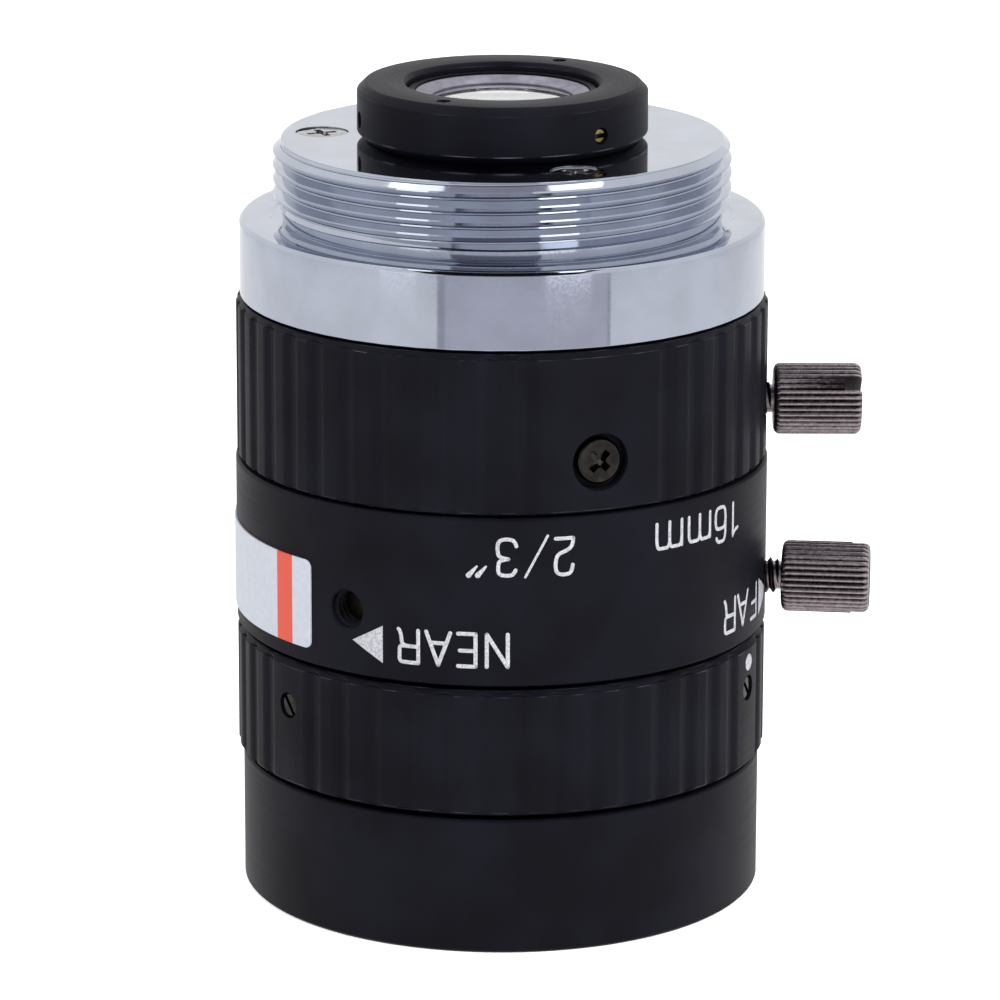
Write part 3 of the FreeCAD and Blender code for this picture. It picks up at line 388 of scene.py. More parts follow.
def mottled(name, tones, patch_mm, grain_mm, relief, gloss=None, gloss_in_patches=False,
            spread=SWING, detail=3.0, **sockets):
    """Finish in two tones over patches of one size, with a finer grain on it.

    relief is the strength and depth of the grain. gloss holds the two roughnesses that the
    grain, or else the patches, swing between. sockets sets the rest of the shader.
    """
    tree = new_material(name)
    place = add(tree, "TexCoord", output="Object")
    patch = add(tree, "TexNoise", {"Vector": place, "Scale": 1 / (patch_mm * MM),
                                   "Detail": detail})
    share = add(tree, "MapRange", {"Value": patch, **spread})
    shade = add(tree, "Mix", {"Factor": share, FIRST: tones[0], SECOND: tones[1]}, **COLOURS)
    grain = add(tree, "TexNoise", {"Vector": place, "Scale": 1 / (grain_mm * MM),
                                   "Detail": detail})
    bump = add(tree, "Bump", {"Height": grain, "Strength": relief[0],
                              "Distance": relief[1] * MM})
    if gloss:
        sockets["Roughness"] = add(tree, "MapRange", {
            "Value": patch if gloss_in_patches else grain, **SWING, "To Min": gloss[0],
            "To Max": gloss[1]})
    shader = add(tree, "BsdfPrincipled", {"Base Color": shade, "Normal": bump, **sockets})
    add(tree, "OutputMaterial", {"Surface": shader})


def machined_metal(name, light, dark, rough, mottle_mm):
    """Machined or plated metal with a faint mottle and tool marks a third of its size."""
    mottled(name, (linear(light), linear(dark)), mottle_mm, mottle_mm / 3, (0.2, 0.004),
            (rough * 0.8, rough * 1.2), True, detail=2.0, Metallic=1.0)


def dark_nickel():
    """Dark nickel plate on rolled knurling: warm grey metal, with painted shade in the grooves
    between the knurls, in the slot and on the thread.
    """
    tree = new_material("dark_nickel_plate")
    place = add(tree, "TexCoord", output="Object")
    # Painted shade, as much as the mesh marks at each point; the mottle below adds a faint random
    # darkening to it
    groove = add(tree, "Attribute", output="Fac", attribute_name="groove")
    mottle = add(tree, "TexNoise", {"Vector": place, "Scale": 1 / (0.25 * MM), "Detail": 3.0})
    soil = add(tree, "MapRange", {"Value": mottle, **SWING, "To Max": 0.3})
    depth = add(tree, "Math", {0: groove, 1: soil}, operation="ADD", use_clamp=True)
    shade = add(tree, "Mix", {"Factor": depth, FIRST: chosen("knurl_light"),
                              SECOND: chosen("knurl_shade")}, **COLOURS)
    blast = add(tree, "TexNoise", {"Vector": place, "Scale": 1 / (0.12 * MM), "Detail": 3.0})
    gloss = add(tree, "MapRange", {"Value": blast, **SWING, "To Min": 0.25, "To Max": 0.4})
    bump = add(tree, "Bump", {"Height": blast, "Strength": 0.3, "Distance": 0.012 * MM})
    shader = add(tree, "BsdfPrincipled", {
        "Base Color": shade, "Roughness": gloss, "Metallic": 1.0, "Normal": bump})
    add(tree, "OutputMaterial", {"Surface": shader})


def coated_glass(name, index, coat):
    """Optical glass, whose anti-reflection coat leaves a faint tint that drifts over 8 mm."""
    tree = new_material(name)
    place = add(tree, "TexCoord", output="Object")
    film = add(tree, "TexNoise", {"Vector": place, "Scale": 1 / (8 * MM)})
    tint = add(tree, "Mix", {"Factor": film, FIRST: linear("#F4F8FF"),
                             SECOND: linear("#FBFFF8")}, **COLOURS)
    shader = add(tree, "BsdfPrincipled", {
        "Base Color": tint, "Roughness": 0.0, "IOR": index, "Transmission Weight": 1.0,
        "Coat Weight": coat, "Coat Roughness": 0.02, "Coat IOR": 2.4})
    add(tree, "OutputMaterial", {"Surface": shader})


def white_film():
    """White vinyl label with a satin face and one plain red stripe."""
    tree = new_material("white_vinyl_film")
    place = add(tree, "TexCoord", output="Object")
    fibre = add(tree, "TexNoise", {"Vector": place, "Scale": 1 / (0.4 * MM), "Detail": 3.0})
    share = add(tree, "MapRange", {"Value": fibre, **SWING})
    paper = add(tree, "Mix", {"Factor": share, FIRST: chosen("film"),
                              SECOND: linear("#BCC0C8")}, **COLOURS)
    stripe = add(tree, "Attribute", output="Fac", attribute_name="stripe")
    printed = add(tree, "Math", {0: stripe, 1: 0.5}, operation="GREATER_THAN")
    ink = add(tree, "Mix", {"Factor": printed, FIRST: paper, SECOND: chosen("stripe")},
              **COLOURS)
    bump = add(tree, "Bump", {"Height": share, "Strength": 0.1, "Distance": 0.004 * MM})
    shader = add(tree, "BsdfPrincipled", {"Base Color": ink, "Roughness": 0.35, "Normal": bump})
    add(tree, "OutputMaterial", {"Surface": shader})


def length(name, description, default):
    """Property that holds a length, whose default is given in millimetres."""
    return bpy.props.FloatProperty(name=name, description=description, default=default * MM,
                                   unit="LENGTH")


def colour(name, description, code):
    """Property that holds a colour, whose default is given as an sRGB hex value."""
    return bpy.props.FloatVectorProperty(name=name, description=description, subtype="COLOR",
                                         size=3, default=linear(code)[:3])


class LensSizes(bpy.types.PropertyGroup):
    """Sizes of the lens that only the visual model has."""

    mount_pitch: length("Mount pitch", "Height of one turn of the camera thread", 0.79375)
    mount_depth: length(
        "Mount thread depth", "From the crest of the camera thread to its root", 0.42)
    filter_pitch: length("Filter pitch", "Height of one turn of the front thread", 0.5)
    lock_pitch: length("Lock pitch", "Height of one turn on the thumb screws", 0.4)
    flute_width: length("Flute width", "Width of one flute of the grip rings", 1.04)
    flute_depth: length("Flute depth", "Depth of one flute of the grip rings", 0.22)
    flute_count: bpy.props.IntProperty(
        name="Flutes", description="Places for flutes round each grip ring", default=45)
    knurl_count: bpy.props.IntProperty(
        name="Knurls", description="Ridges round the head of a thumb screw", default=36)
    knurl_depth: length("Knurl depth", "Depth of the grooves between the knurls", 0.14)
    edge: length("Edge", "Rounding of the crisp edges", 0.04)


class LensColours(bpy.types.PropertyGroup):
    """Colours of the lens that a user may change."""

    anodised_dark: colour("Anodised, dark", "Darker tone of the black anodised parts", "#0D0D13")
    anodised_light: colour(
        "Anodised, light", "Lighter tone of the black anodised parts", "#13131B")
    plate: colour("Plate", "Light tone of the plated mount", "#B6BCCA")
    # Colour of the painted shade in the grooves, the slot and the thread of the thumb screws
    knurl_shade: colour("Thumb screw, dark", "Tone in the grooves of the thumb screws", "#352D30")
    knurl_light: colour(
        "Thumb screw, light", "Tone on the ridges of the thumb screws", "#B7ABAE")
    film: colour("Label", "Colour of the label's film", "#C2C6CE")
    stripe: colour("Label stripe", "Colour of the stripe on the label", "#D6492F")
    marks: colour("Marks", "Colour of the filled marks", "#C2C2C7")


class LENS_OT_materials(bpy.types.Operator):
    """Make the materials of the lens"""

    bl_idname = "lens.materials"
    bl_label = "Materials"

    def execute(self, context):
        black_anodised("black_anodised_aluminium", 0.0)
        black_anodised("black_anodised_grip", 0.28)
        # The rear ring's edge shows much pale metal, which paints a highlight along its lower edge
        # as well as rubbing
        black_anodised("black_anodised_edge", 0.75)
        # Bright nickel plate on turned brass: a cool mirror, a little cloudy over some 3 mm,
        # with a plating grain of 0.15 mm
        mottled("bright_nickel_plate", (linear("#AEB3BF"), chosen("plate")), 3, 0.15,
                (0.08, 0.002), (0.05, 0.09), Metallic=1.0)
        dark_nickel()
        # Nickel-plated steel screws: grey, nearly mirror-like
        machined_metal("nickel_plated_steel", "#A9A7A8", "#979596", 0.14, 0.3)
        # Black oxide on steel: near black, with a dull metal sheen
        machined_metal("black_oxide_steel", "#3C3836", "#2C2928", 0.2, 0.5)
        # Turned brass: warm yellow with fine tool marks
        machined_metal("turned_brass", "#A89C6A", "#7F7648", 0.3, 0.3)
        # Blackened brass of the focus sleeve: dark brown-black, dull
        machined_metal("blackened_brass", "#2A2724", "#1C1A18", 0.5, 0.3)
        # Ground steel pin: pale and even
        machined_metal("ground_steel", "#C4C4C8", "#A8A8AC", 0.2, 0.3)
        # Blackened spring steel of the iris blades: thin, dark and slightly blue
        machined_metal("blackened_spring_steel", "#34343A", "#26262A", 0.4, 0.3)
        # Dark grey anodised ring round the rear glass: even and dull
        machined_metal("grey_anodised_aluminium", "#8F8D99", "#878591", 0.45, 0.6)
        # Crown glass of the inner elements, and dense glass with a stronger coat at the rear
        coated_glass("coated_optical_glass", 1.52, 0.0)
        coated_glass("coated_dense_glass", 1.85, 1.0)
        white_film()
        # Light grey paint in laser-cut marks, a little broken by the pass of the beam
        mottled("light_grey_mark_paint", (linear("#9A9AA0"), chosen("marks")), 0.12, 0.12,
                (0.3, 0.006), Roughness=0.6)
        # Moulded natural nylon: milky, slightly waxy plastic
        mottled("natural_nylon", (linear("#DAD6CA"), linear("#E9E6DC")), 0.5, 0.5, (0.1, 0.01),
                spread={}, Roughness=0.5, IOR=1.53)
        return {"FINISHED"}


class LENS_OT_inside(bpy.types.Operator):
    """Give the nodes inside the lens their materials"""

    bl_idname = "lens.inside"
    bl_label = "Inside"

    def execute(self, context):
        slots = {row["node"]: row["material_slot"] for row in frame["record"]["subparts"]}
        for name, node in frame["nodes"].items():
            node.data.materials.clear()
            node.data.materials.append(bpy.data.materials[SLOT_MATERIALS[slots[name]]])
        return {"FINISHED"}


# Azimuth and height of the details on the side of the lens
LEVER = (21.1, -10.55)
FOCUS_GRUB = (67.8, -25.73)
REAR_GRUB = (42.0, 5.65)
SPARE_HOLE = (-34.5, -19.28)
IRIS_LOCK = (90.0, -10.5)
FOCUS_LOCK = (84.0, -20.33)
# Radius and azimuth of the details on the upward faces
MOUNT_SCREW = (10.075, 23.5)
SPANNER_HOLE = (6.69, -28.5)
# How far the drives of the screws are turned
MOUNT_CROSS_TURN = 30.0
LEVER_CROSS_TURN = 46.0
FOCUS_GRUB_TURN = -50.0


def thirds(azimuth, other):
    """The same place three times, a third of a turn apart."""
    return [(azimuth + side, other) for side in (0.0, 120.0, 240.0)]


class LENS_OT_mount(bpy.types.Operator):
    """Model the plated mount with its cut thread"""

    bl_idname = "lens.mount"
    bl_label = "Mount"

    def execute(self, context):
        sizes = context.scene.lens_sizes
        low, high = reach("c_mount")
        flange = radius_of("c_mount")
        crest = 12.7
        root = crest - sizes.mount_depth / MM
        core = root - 0.05
        top = high.z
        bore = 6.85
        pocket = 11.5
        pocket_top = 1.5
        foot_edge = 0.12
        face_edge = 0.18
        relief = -0.12
        body = turned([
            (pocket, low.z), (flange - foot_edge, low.z), (flange, low.z + foot_edge),
            (flange, -face_edge), (flange - face_edge, 0), (12.9, 0), (12.8, relief),
            (12.05, relief), (core, 0.1), (core, top - 0.2), (root - 0.02, top), (bore, top),
            (bore, pocket_top), (pocket, pocket_top)], ROUND, soft=SOFT)
        # Countersunk holes, whose cones end in the shank's bore
        head_r = 1.475
        head_z = -0.16
        shank = 0.85
        countersink = [(0, 1), (head_r, 1), (head_r, head_z), (shank, head_z - head_r + shank),
                       (shank, -4), (0, -4)]
        circle, first = MOUNT_SCREW
        holes = [moved(turned(countersink, HOLE_STEPS), facing_up(circle, azimuth, z))
                 for azimuth, z in thirds(first, top)]
        body = carved(body, holes)
        thread = helix(root, crest, 0.55, top, sizes.mount_pitch / MM, 192)
        piece(joined(body, thread), "mount", FIXED, "bright_plate", "c_mount")
        return {"FINISHED"}


class LENS_OT_barrel(bpy.types.Operator):
    """Model the fixed barrel with its smooth band"""

    bl_idname = "lens.barrel"
    bl_label = "Barrel"

    def execute(self, context):
        sizes = context.scene.lens_sizes
        band = radius_of("main_barrel")
        low, high = reach("main_barrel")
        # The iris ring turns on the journal above the smooth band
        band_top = reach("iris_ring")[0].z - 0.18
        mouth, mouth_top = 13.7, -15.03
        journal, journal_top = 13.2, -4.35
        spigot, spigot_top = 11.45, 1.5
        neck = 6.8
        bore = 5.9
        room, room_top = 12.1, -5.3
        edge = 0.12
        body = turned([
            (mouth, low.z), (band - edge, low.z), (band, low.z + edge), (band, band_top - edge),
            (band - edge, band_top), (journal, band_top), (journal, journal_top),
            (spigot, journal_top), (spigot, spigot_top), (neck, spigot_top), (neck, high.z),
            (bore, high.z), (bore, room_top), (room, room_top), (room, mouth_top),
            (mouth, mouth_top)], ROUND, soft=SOFT)
        tapped = [(0, 1), (2.3, 1), (1.15, -0.02), (1.05, -0.14), (1.05, -4), (0, -4)]
        holes = [moved(turned(tapped, HOLE_STEPS), facing_out(band, *place))
                 for place in (SPARE_HOLE, FOCUS_LOCK)]
        body = carved(body, holes)
        thread = helix(1.06, 0.9, -3.4, -0.25, sizes.lock_pitch / MM, 32, 0.1)
        moved(thread, facing_out(band, *SPARE_HOLE))
        piece(joined(body, thread), "barrel", FIXED, "black_anodised", "main_barrel")
        return {"FINISHED"}


def grip_ring(sizes, node, bore, first, plain, low_edge):
    """Grip ring with concave flutes; its top end has the wider chamfer."""
    low, high = reach(node)
    outer = radius_of(node)
    count = sizes.flute_count
    pitch = 360.0 / count
    width = sizes.flute_width / MM
    depth = sizes.flute_depth / MM
    hollow = (width ** 2 / 4 + depth ** 2) / (2 * depth)
    centre = outer - depth + hollow
    wall = 0.5
    high_edge = 0.3
    # Shares of a chamfer at which it has a ring of vertices, for the flutes to run out on
    rise = [0.0, 0.27, 0.54, 0.78, 1.0]
    outline = [(bore, low.z)]
    outline += [(outer - low_edge * (1 - r), low.z + low_edge * r) for r in rise]
    outline += [(outer - high_edge * (1 - r), high.z - high_edge * r) for r in reversed(rise)]
    outline.append((bore, high.z))
    bm = turned(outline, count * 16)
    # The first column of the spin lies on +X, so the flutes are centred on the columns
    bmesh.ops.rotate(bm, cent=(0, 0, 0), verts=bm.verts[:],
                     matrix=Matrix.Rotation(math.radians(first - X_AZIMUTH), 3, "Z"))
    for v in bm.verts:
        radius = math.hypot(v.co.x, v.co.y)
        azimuth = math.degrees(math.atan2(v.co.x, -v.co.y))
        place = (azimuth - first) / pitch
        if round(place) % count in plain:
            continue
        off = math.radians((place - round(place)) * pitch)
        across = centre * math.sin(off)
        if abs(across) < hollow and radius > bore + wall:
            limit = centre * math.cos(off) - math.sqrt(hollow ** 2 - across ** 2)
            if limit < radius:
                v.co.xy *= limit / radius
    return bm


class LENS_OT_grip_rings(bpy.types.Operator):
    """Model the fluted iris and focus rings"""

    bl_idname = "lens.grip_rings"
    bl_label = "Grip rings"

    def execute(self, context):
        sizes = context.scene.lens_sizes
        count = sizes.flute_count
        iris_r = radius_of("iris_ring")
        iris = grip_ring(sizes, "iris_ring", 13.25, LEVER[0], (0, 1, count - 1), 0.12)
        iris = soften(iris, sizes.edge / MM)
        seat = moved(bar(1.6, -0.8, 1, 64), facing_out(iris_r, *LEVER))
        shank = moved(bar(0.83, -3, 1), facing_out(iris_r, *LEVER))
        lock = moved(bar(1.05, -3, 1), facing_out(iris_r, *IRIS_LOCK))
        piece(carved(iris, [seat, shank, lock]), "grip_iris", IRIS, "black_anodised",
              "iris_ring", "black_anodised_grip")
        focus_r = radius_of("focus_ring")
        focus = grip_ring(sizes, "focus_ring", 13.05, FOCUS_GRUB[0],
                          [n * count // 3 for n in range(3)], 0.15)
        focus = soften(focus, sizes.edge / MM)
        holes = [moved(bar(0.73, -3, 1, 40), facing_out(focus_r, *place))
                 for place in thirds(*FOCUS_GRUB)]
        piece(carved(focus, holes), "grip_focus", FOCUS, "black_anodised", "focus_ring",
              "black_anodised_grip")
        return {"FINISHED"}


class LENS_OT_front(bpy.types.Operator):
    """Model the front housing with its filter thread"""

    bl_idname = "lens.front"
    bl_label = "Front"

    def execute(self, context):
        sizes = context.scene.lens_sizes
        low, high = reach("front_barrel")
        outer = radius_of("front_barrel")
        root = 13.5
        crest = 13.25
        wall = root + 0.02
        mouth = low.z + 3.2
        cell_low = reach("lens_barrel")[0].z
        rim_edge = 0.15
        top_edge = 0.12
        body = turned([
            (12.03, high.z), (12.03, cell_low), (10.95, cell_low), (crest - 0.2, mouth),
            (wall, mouth), (wall, low.z + 0.25), (wall + 0.25, low.z), (outer - rim_edge, low.z),
            (outer, low.z + rim_edge), (outer, high.z - top_edge), (outer - top_edge, high.z)],
            ROUND, soft=SOFT)
        thread = helix(root, crest, low.z + 0.2, mouth - 0.1, sizes.filter_pitch / MM, 128, 0.1)
        piece(joined(body, thread), "housing_front", UNIT, "black_anodised", "front_barrel")
        return {"FINISHED"}


class LENS_OT_rear(bpy.types.Operator):
    """Model the black ring round the rear glass and the cell inside it"""

    bl_idname = "lens.rear"
    bl_label = "Rear"

    def execute(self, context):
        low, high = reach("rear_ring")
        outer = radius_of("rear_ring")
        tube = 6.85
        bore = 5.33
        corner = 0.45
        lip = 0.23
        step = high.z - 0.8
        foot = low.z + corner
        ring = turned([
            (tube, low.z), (outer - corner, low.z), (outer, foot), (outer, high.z - corner),
            (outer - corner, high.z), (bore + lip, high.z), (bore, high.z - lip), (bore, step),
            (tube, step)])

        def on_foot(v):
            return abs(v.co.z - foot) < 0.01 and v.co.xy.length > outer - 0.01

        # Only the lower edge of the ring is rubbed through to the metal, and so strongly that it
        # also paints the bright highlight line along that edge
        ring = soften(ring, 0.05, worn_and_lit=0.1, where=lambda e: not any(map(on_foot, e.verts)))
        ring = soften(ring, 0.05, 40, where=lambda e: all(map(on_foot, e.verts)))
        circle, first = SPANNER_HOLE
        cuts = [moved(bar(0.4, -0.7, 1, 32), facing_up(circle, first + turn, high.z))
                for turn in (0, 180)]
        cuts += [moved(bar(0.48, -2, 1, 32), facing_out(outer, *place))
                 for place in thirds(*REAR_GRUB)]
        piece(carved(ring, cuts), "ring_rear", FIXED, "black_anodised", "rear_ring",
              "black_anodised_edge")
        low, high = reach("rear_retaining_ring")
        slope = turned([(3.95, low.z), (4.82, low.z), (4.82, high.z), (4.75, high.z),
                        (3.95, high.z - 0.3)], 128, soft=0.02)
        piece(slope, "ring_rear_glass", UNIT, "grey_ring", "rear_retaining_ring")
        return {"FINISHED"}


def screw_head(outer, height, edge, steps=64):
    """Flat head of a screw with its top at z 0."""
    return turned([(0, 0), (outer - edge, 0), (outer, -edge), (outer, -height), (0, -height)],
                  steps, soft=edge / 3)


def cross_tools(arm, width, depth):
    """Cutters for a tapered cross drive in a head whose top is at z 0."""
    return [block(2 * arm, width, -depth, 0.05, 0.6), block(width, 2 * arm, -depth, 0.05, 0.6),
            turned([(0, 0.05), (width * 0.9, 0.05), (width * 0.6, -depth), (0, -depth - 0.1)], 24)]


class LENS_OT_screws(bpy.types.Operator):
    """Model the screws of the mount, the iris and the rings"""

    bl_idname = "lens.screws"
    bl_label = "Screws"

    def execute(self, context):
        top = reach("mount_screws")[1].z
        circle, first = MOUNT_SCREW
        screws = []
        for azimuth, z in thirds(first, top):
            screw = turned([(0, 0), (1.425, 0), (1.425, -0.11), (0.8, -0.735), (0.8, -4.6),
                            (0, -4.6)], 64, soft=0.02)
            screw = carved(screw, cross_tools(0.9, 0.42, 0.6))
            screws.append(moved(screw, facing_up(circle, azimuth, z, MOUNT_CROSS_TURN)))
        piece(joined(*screws), "screws_mount", FIXED, "nickel_screw", "mount_screws")

        head_top = radius_of("iris_ring") - 0.2
        lever = joined(carved(screw_head(1.275, 0.6, 0.12), cross_tools(0.72, 0.42, 0.45)),
                       bar(0.8, -1.3, -0.55), bar(0.6, -3.55, -1.2))
        moved(lever, facing_out(head_top, *LEVER, LEVER_CROSS_TURN))
        piece(lever, "screw_lever", IRIS, "black_screw", "iris_lever_screw")

        focus_top = radius_of("focus_ring") - 0.12
        rear_top = radius_of("rear_ring") - 0.15
        for name, radius, long, first, out, turn, body, slot, node in (
                ("screws_focus", 0.7, 1.52, FOCUS_GRUB, focus_top, FOCUS_GRUB_TURN, FOCUS,
                 "black_screw", "focus_ring_screws"),
                ("screws_rear", 0.45, 1.05, REAR_GRUB, rear_top, 0.0, FIXED,
                 "brass_screw", "rear_ring_screws")):
            grubs = []
            for azimuth, z in thirds(*first):
                grub = carved(screw_head(radius, long, 0.1, 40),
                              [block(3 * radius, 0.26, -0.4, 0.5)])
                grubs.append(moved(grub, facing_out(out, azimuth, z, turn)))
            piece(joined(*grubs), name, body, slot, node)
        return {"FINISHED"}


def thumb_screw(sizes, tip, head_low, head_high):
    """Knurled thumb screw along Z with a cut thread and a slotted end."""
    head_r = 2.0
    edge = 0.38
    hub_r = 0.5
    groove_share = 0.85
    # How dark the painted shade is at the bottom of a knurl groove
    groove_dark = 0.9
    count = sizes.knurl_count
    bend = [math.radians(angle) for angle in range(0, 91, 18)]
    outline = [(0, head_low)]
    outline += [(head_r - edge + edge * math.sin(a), head_low + edge - edge * math.cos(a))
                for a in bend]
    outline += [(head_r - edge + edge * math.cos(a), head_high - edge + edge * math.sin(a))
                for a in bend] + [(0, head_high)]
    head = turned(outline, count * 8)
    # Painted shade in the knurl grooves, darker where they are cut deeper
    groove = head.verts.layers.float.new("groove")
    depth = sizes.knurl_depth / MM
    for v in head.verts:
        radius = math.hypot(v.co.x, v.co.y)
        if radius < hub_r:
            continue
        share = math.atan2(v.co.y, v.co.x) / FULL_TURN * count
        off = abs(share - round(share)) * 2
        cut = max(0.0, 1 - off / groove_share)
        limit = head_r - depth * cut
        v[groove] = cut * groove_dark
        if radius > limit:
            v.co.xy *= limit / radius
    slot_width = 0.85
    slot_foot = head_high - 1.0
    slot = block(3 * head_r, slot_width, slot_foot, head_high + 1)
    head = carved(head, [slot])
    core = bar(0.78, tip, head_low + 0.1)
    thread = helix(0.76, 1.0, tip, head_low - 0.12, sizes.lock_pitch / MM, 48, 0.15)
    whole = joined(head, core, thread)
    # Painted shade: the thread and the inside of the slot take the full dark tone, for shade and
    # for the dark surroundings that the metal mirrors
    groove = whole.verts.layers.float["groove"]
    for v in whole.verts:
        in_slot = v.co.z > slot_foot - 0.01 and abs(v.co.y) < slot_width / 2 + 0.01
        if v.co.z < head_low - 0.05 or in_slot:
            v[groove] = 1.0
    return whole


class LENS_OT_thumb_screws(bpy.types.Operator):
    """Model the two knurled thumb screws"""

    bl_idname = "lens.thumb_screws"
    bl_label = "Thumb screws"

    def execute(self, context):
        sizes = context.scene.lens_sizes
        head_length = 4.9
        for node, place, tip, head_low, turn in (
                ("iris_lock_screw", IRIS_LOCK, 13.8, 15.2, -40.0),
                ("focus_lock_screw", FOCUS_LOCK, 14.2, 15.86, 75.0)):
            screw = thumb_screw(sizes, tip, head_low, head_low + head_length)
            moved(screw, facing_out(0, *place, turn))
            piece(screw, node.replace("lock_screw", "thumb_screw"), node + "_body",
                  "dark_nickel", node)
        return {"FINISHED"}


def wrapped(bm, radius, azimuth, z, upside_down=False):
    """Flat shape bent round the barrel, with its own height as the distance out."""
    for v in bm.verts:
        x, y = (-v.co.x, -v.co.y) if upside_down else (v.co.x, v.co.y)
        v.co = spot(radius + v.co.z, azimuth + math.degrees(x / radius), z + y)
    return bm


def cut_across(bm, x):
    """Cuts a flat shape in two along the line where it has this x."""
    bmesh.ops.bisect_plane(bm, geom=bm.verts[:] + bm.edges[:] + bm.faces[:], dist=WELD / 10,
                           plane_co=(x, 0, 0), plane_no=(1, 0, 0))


def sliced(bm, step):
    """Cuts a flat shape across at even steps, so that it can bend."""
    xs = [v.co.x for v in bm.verts]
    x = math.ceil(min(xs) / step) * step
    while x < max(xs):
        cut_across(bm, x)
        x += step
    return bm


def raised(bm, height):
    """Gives a flat shape in the XY plane an even thickness."""
    bmesh.ops.recalc_face_normals(bm, faces=bm.faces[:])
    made = bmesh.ops.extrude_face_region(bm, geom=bm.faces[:])
    up = [item for item in made["geom"] if isinstance(item, bmesh.types.BMVert)]
    bmesh.ops.translate(bm, vec=(0, 0, height), verts=up)
    bmesh.ops.recalc_face_normals(bm, faces=bm.faces[:])
    return bm


class LENS_OT_label(bpy.types.Operator):
    """Model the label on the barrel"""

    bl_idname = "lens.label"
    bl_label = "Label"

    def execute(self, context):
        low, high = reach("label")
        radius = radius_of("main_barrel")
        height = high.z - low.z
        start, end = -139.0, -44.0
        corner = 0.45
        thick = 0.09
        glue = 0.005
        width = math.radians(end - start) * radius
        bm = bmesh.new()
        bmesh.ops.create_grid(bm, x_segments=1, y_segments=1, size=0.5,
                              matrix=Matrix.Diagonal((width, height, 1, 1)))
        bmesh.ops.bevel(bm, geom=bm.verts[:], offset=corner, offset_type="OFFSET",
                        affect="VERTICES", segments=8, profile=0.5, material=-1)
        stripe_x = width / 2 - 2.9
        stripe_end = width / 2 - 1.5
        cut_across(bm, stripe_x)
        cut_across(bm, stripe_end)
        sliced(bm, 0.4)
        layer = bm.faces.layers.float.new("stripe")
        for face in bm.faces:
            middle = face.calc_center_median().x
            face[layer] = 1.0 if stripe_x < middle < stripe_end else 0.0
        raised(bm, thick)
        wrapped(bm, radius + glue, (start + end) / 2, (low.z + high.z) / 2)
        piece(bm, "label_film", FIXED, "sticker", "label")
        return {"FINISHED"}


# Strokes of the marks, in shares of a character's width and height
GLYPHS = {
    "1": (((0.9, 0), (0.9, 1)), ((0.9, 1), (0.72, 0.84), (0, 0.8))),
    "2": (((0.02, 0.76), (0.04, 0.98), (0.5, 1.04), (0.96, 0.98), (1.02, 0.7), (0.9, 0.44),
           (0.4, 0.36), (0, 0.22), (0, 0)), ((0, 0), (1, 0))),
    "3": (((0.04, 0.86), (0.14, 0.99), (0.5, 1.02), (0.94, 0.98), (0.98, 0.75), (0.88, 0.56),
           (0.42, 0.54)), ((0.42, 0.54), (0.92, 0.52), (1.02, 0.26), (0.96, 0.02), (0.5, -0.03),
                           (0.08, 0.02), (0, 0.18))),
    "6": (((0.9, 0.88), (0.8, 1), (0.5, 1.02), (0.06, 1), (0, 0.5), (0.06, 0), (0.5, -0.03),
           (0.95, 0), (1.02, 0.31), (0.95, 0.6), (0.5, 0.62), (0.06, 0.6), (0, 0.3)),),
    "/": (((0, 0), (1, 1)),),
    "N": (((0, 0), (0, 1)), ((0, 1), (1, 0)), ((1, 0), (1, 1))),
    "E": (((0, 0), (0, 1)), ((0, 1), (1, 1)), ((0, 0.52), (0.9, 0.52)), ((0, 0), (1, 0))),
    "A": (((0, 0), (0.5, 1)), ((0.5, 1), (1, 0)), ((0.17, 0.33), (0.83, 0.33))),
    "R": (((0, 0), (0, 1)), ((0, 1), (0.55, 1), (0.95, 1), (0.95, 0.76), (0.95, 0.5),
                             (0.55, 0.5), (0, 0.5)),
          ((0.45, 0.5), (0.8, 0.5), (0.86, 0.25), (0.9, 0.08), (1, 0))),
    "F": (((0, 0), (0, 1)), ((0, 1), (1, 1)), ((0, 0.52), (0.85, 0.52))),
    "m": (((0, 0), (0, 1)), ((0, 0.6), (0, 1), (0.25, 1), (0.5, 1), (0.5, 0.6)),
          ((0.5, 0.6), (0.5, 0)), ((0.5, 0.6), (0.5, 1), (0.75, 1), (1, 1), (1, 0.6)),
          ((1, 0.6), (1, 0))),
}

# Character, azimuths of its left and right side, heights of its foot and top, stroke width
MARKS = (
    ("2", 15.4, 10.9, -14.5, -16.68, 0.21), ("/", 9.9, 4.7, -14.34, -16.76, 0.14),
    ("3", 3.5, -1.2, -14.5, -16.68, 0.21),
    ("1", 61.0, 57.9, -14.36, -16.42, 0.2), ("6", 55.9, 51.4, -14.36, -16.44, 0.2),
    ("m", 50.2, 42.8, -14.34, -15.95, 0.2), ("m", 41.5, 34.0, -14.34, -15.95, 0.2),
    ("N", 1.8, -3.4, -19.79, -21.84, 0.22), ("E", -4.9, -9.4, -19.79, -21.84, 0.22),
    ("A", -10.2, -16.2, -19.79, -21.84, 0.22), ("R", -17.1, -22.3, -19.79, -21.84, 0.22),
    ("F", 72.7, 68.2, -19.83, -21.9, 0.22), ("A", 66.9, 60.9, -19.83, -21.9, 0.22),
    ("R", 60.4, 55.2, -19.83, -21.9, 0.22))
MARK_HEIGHT = 0.012


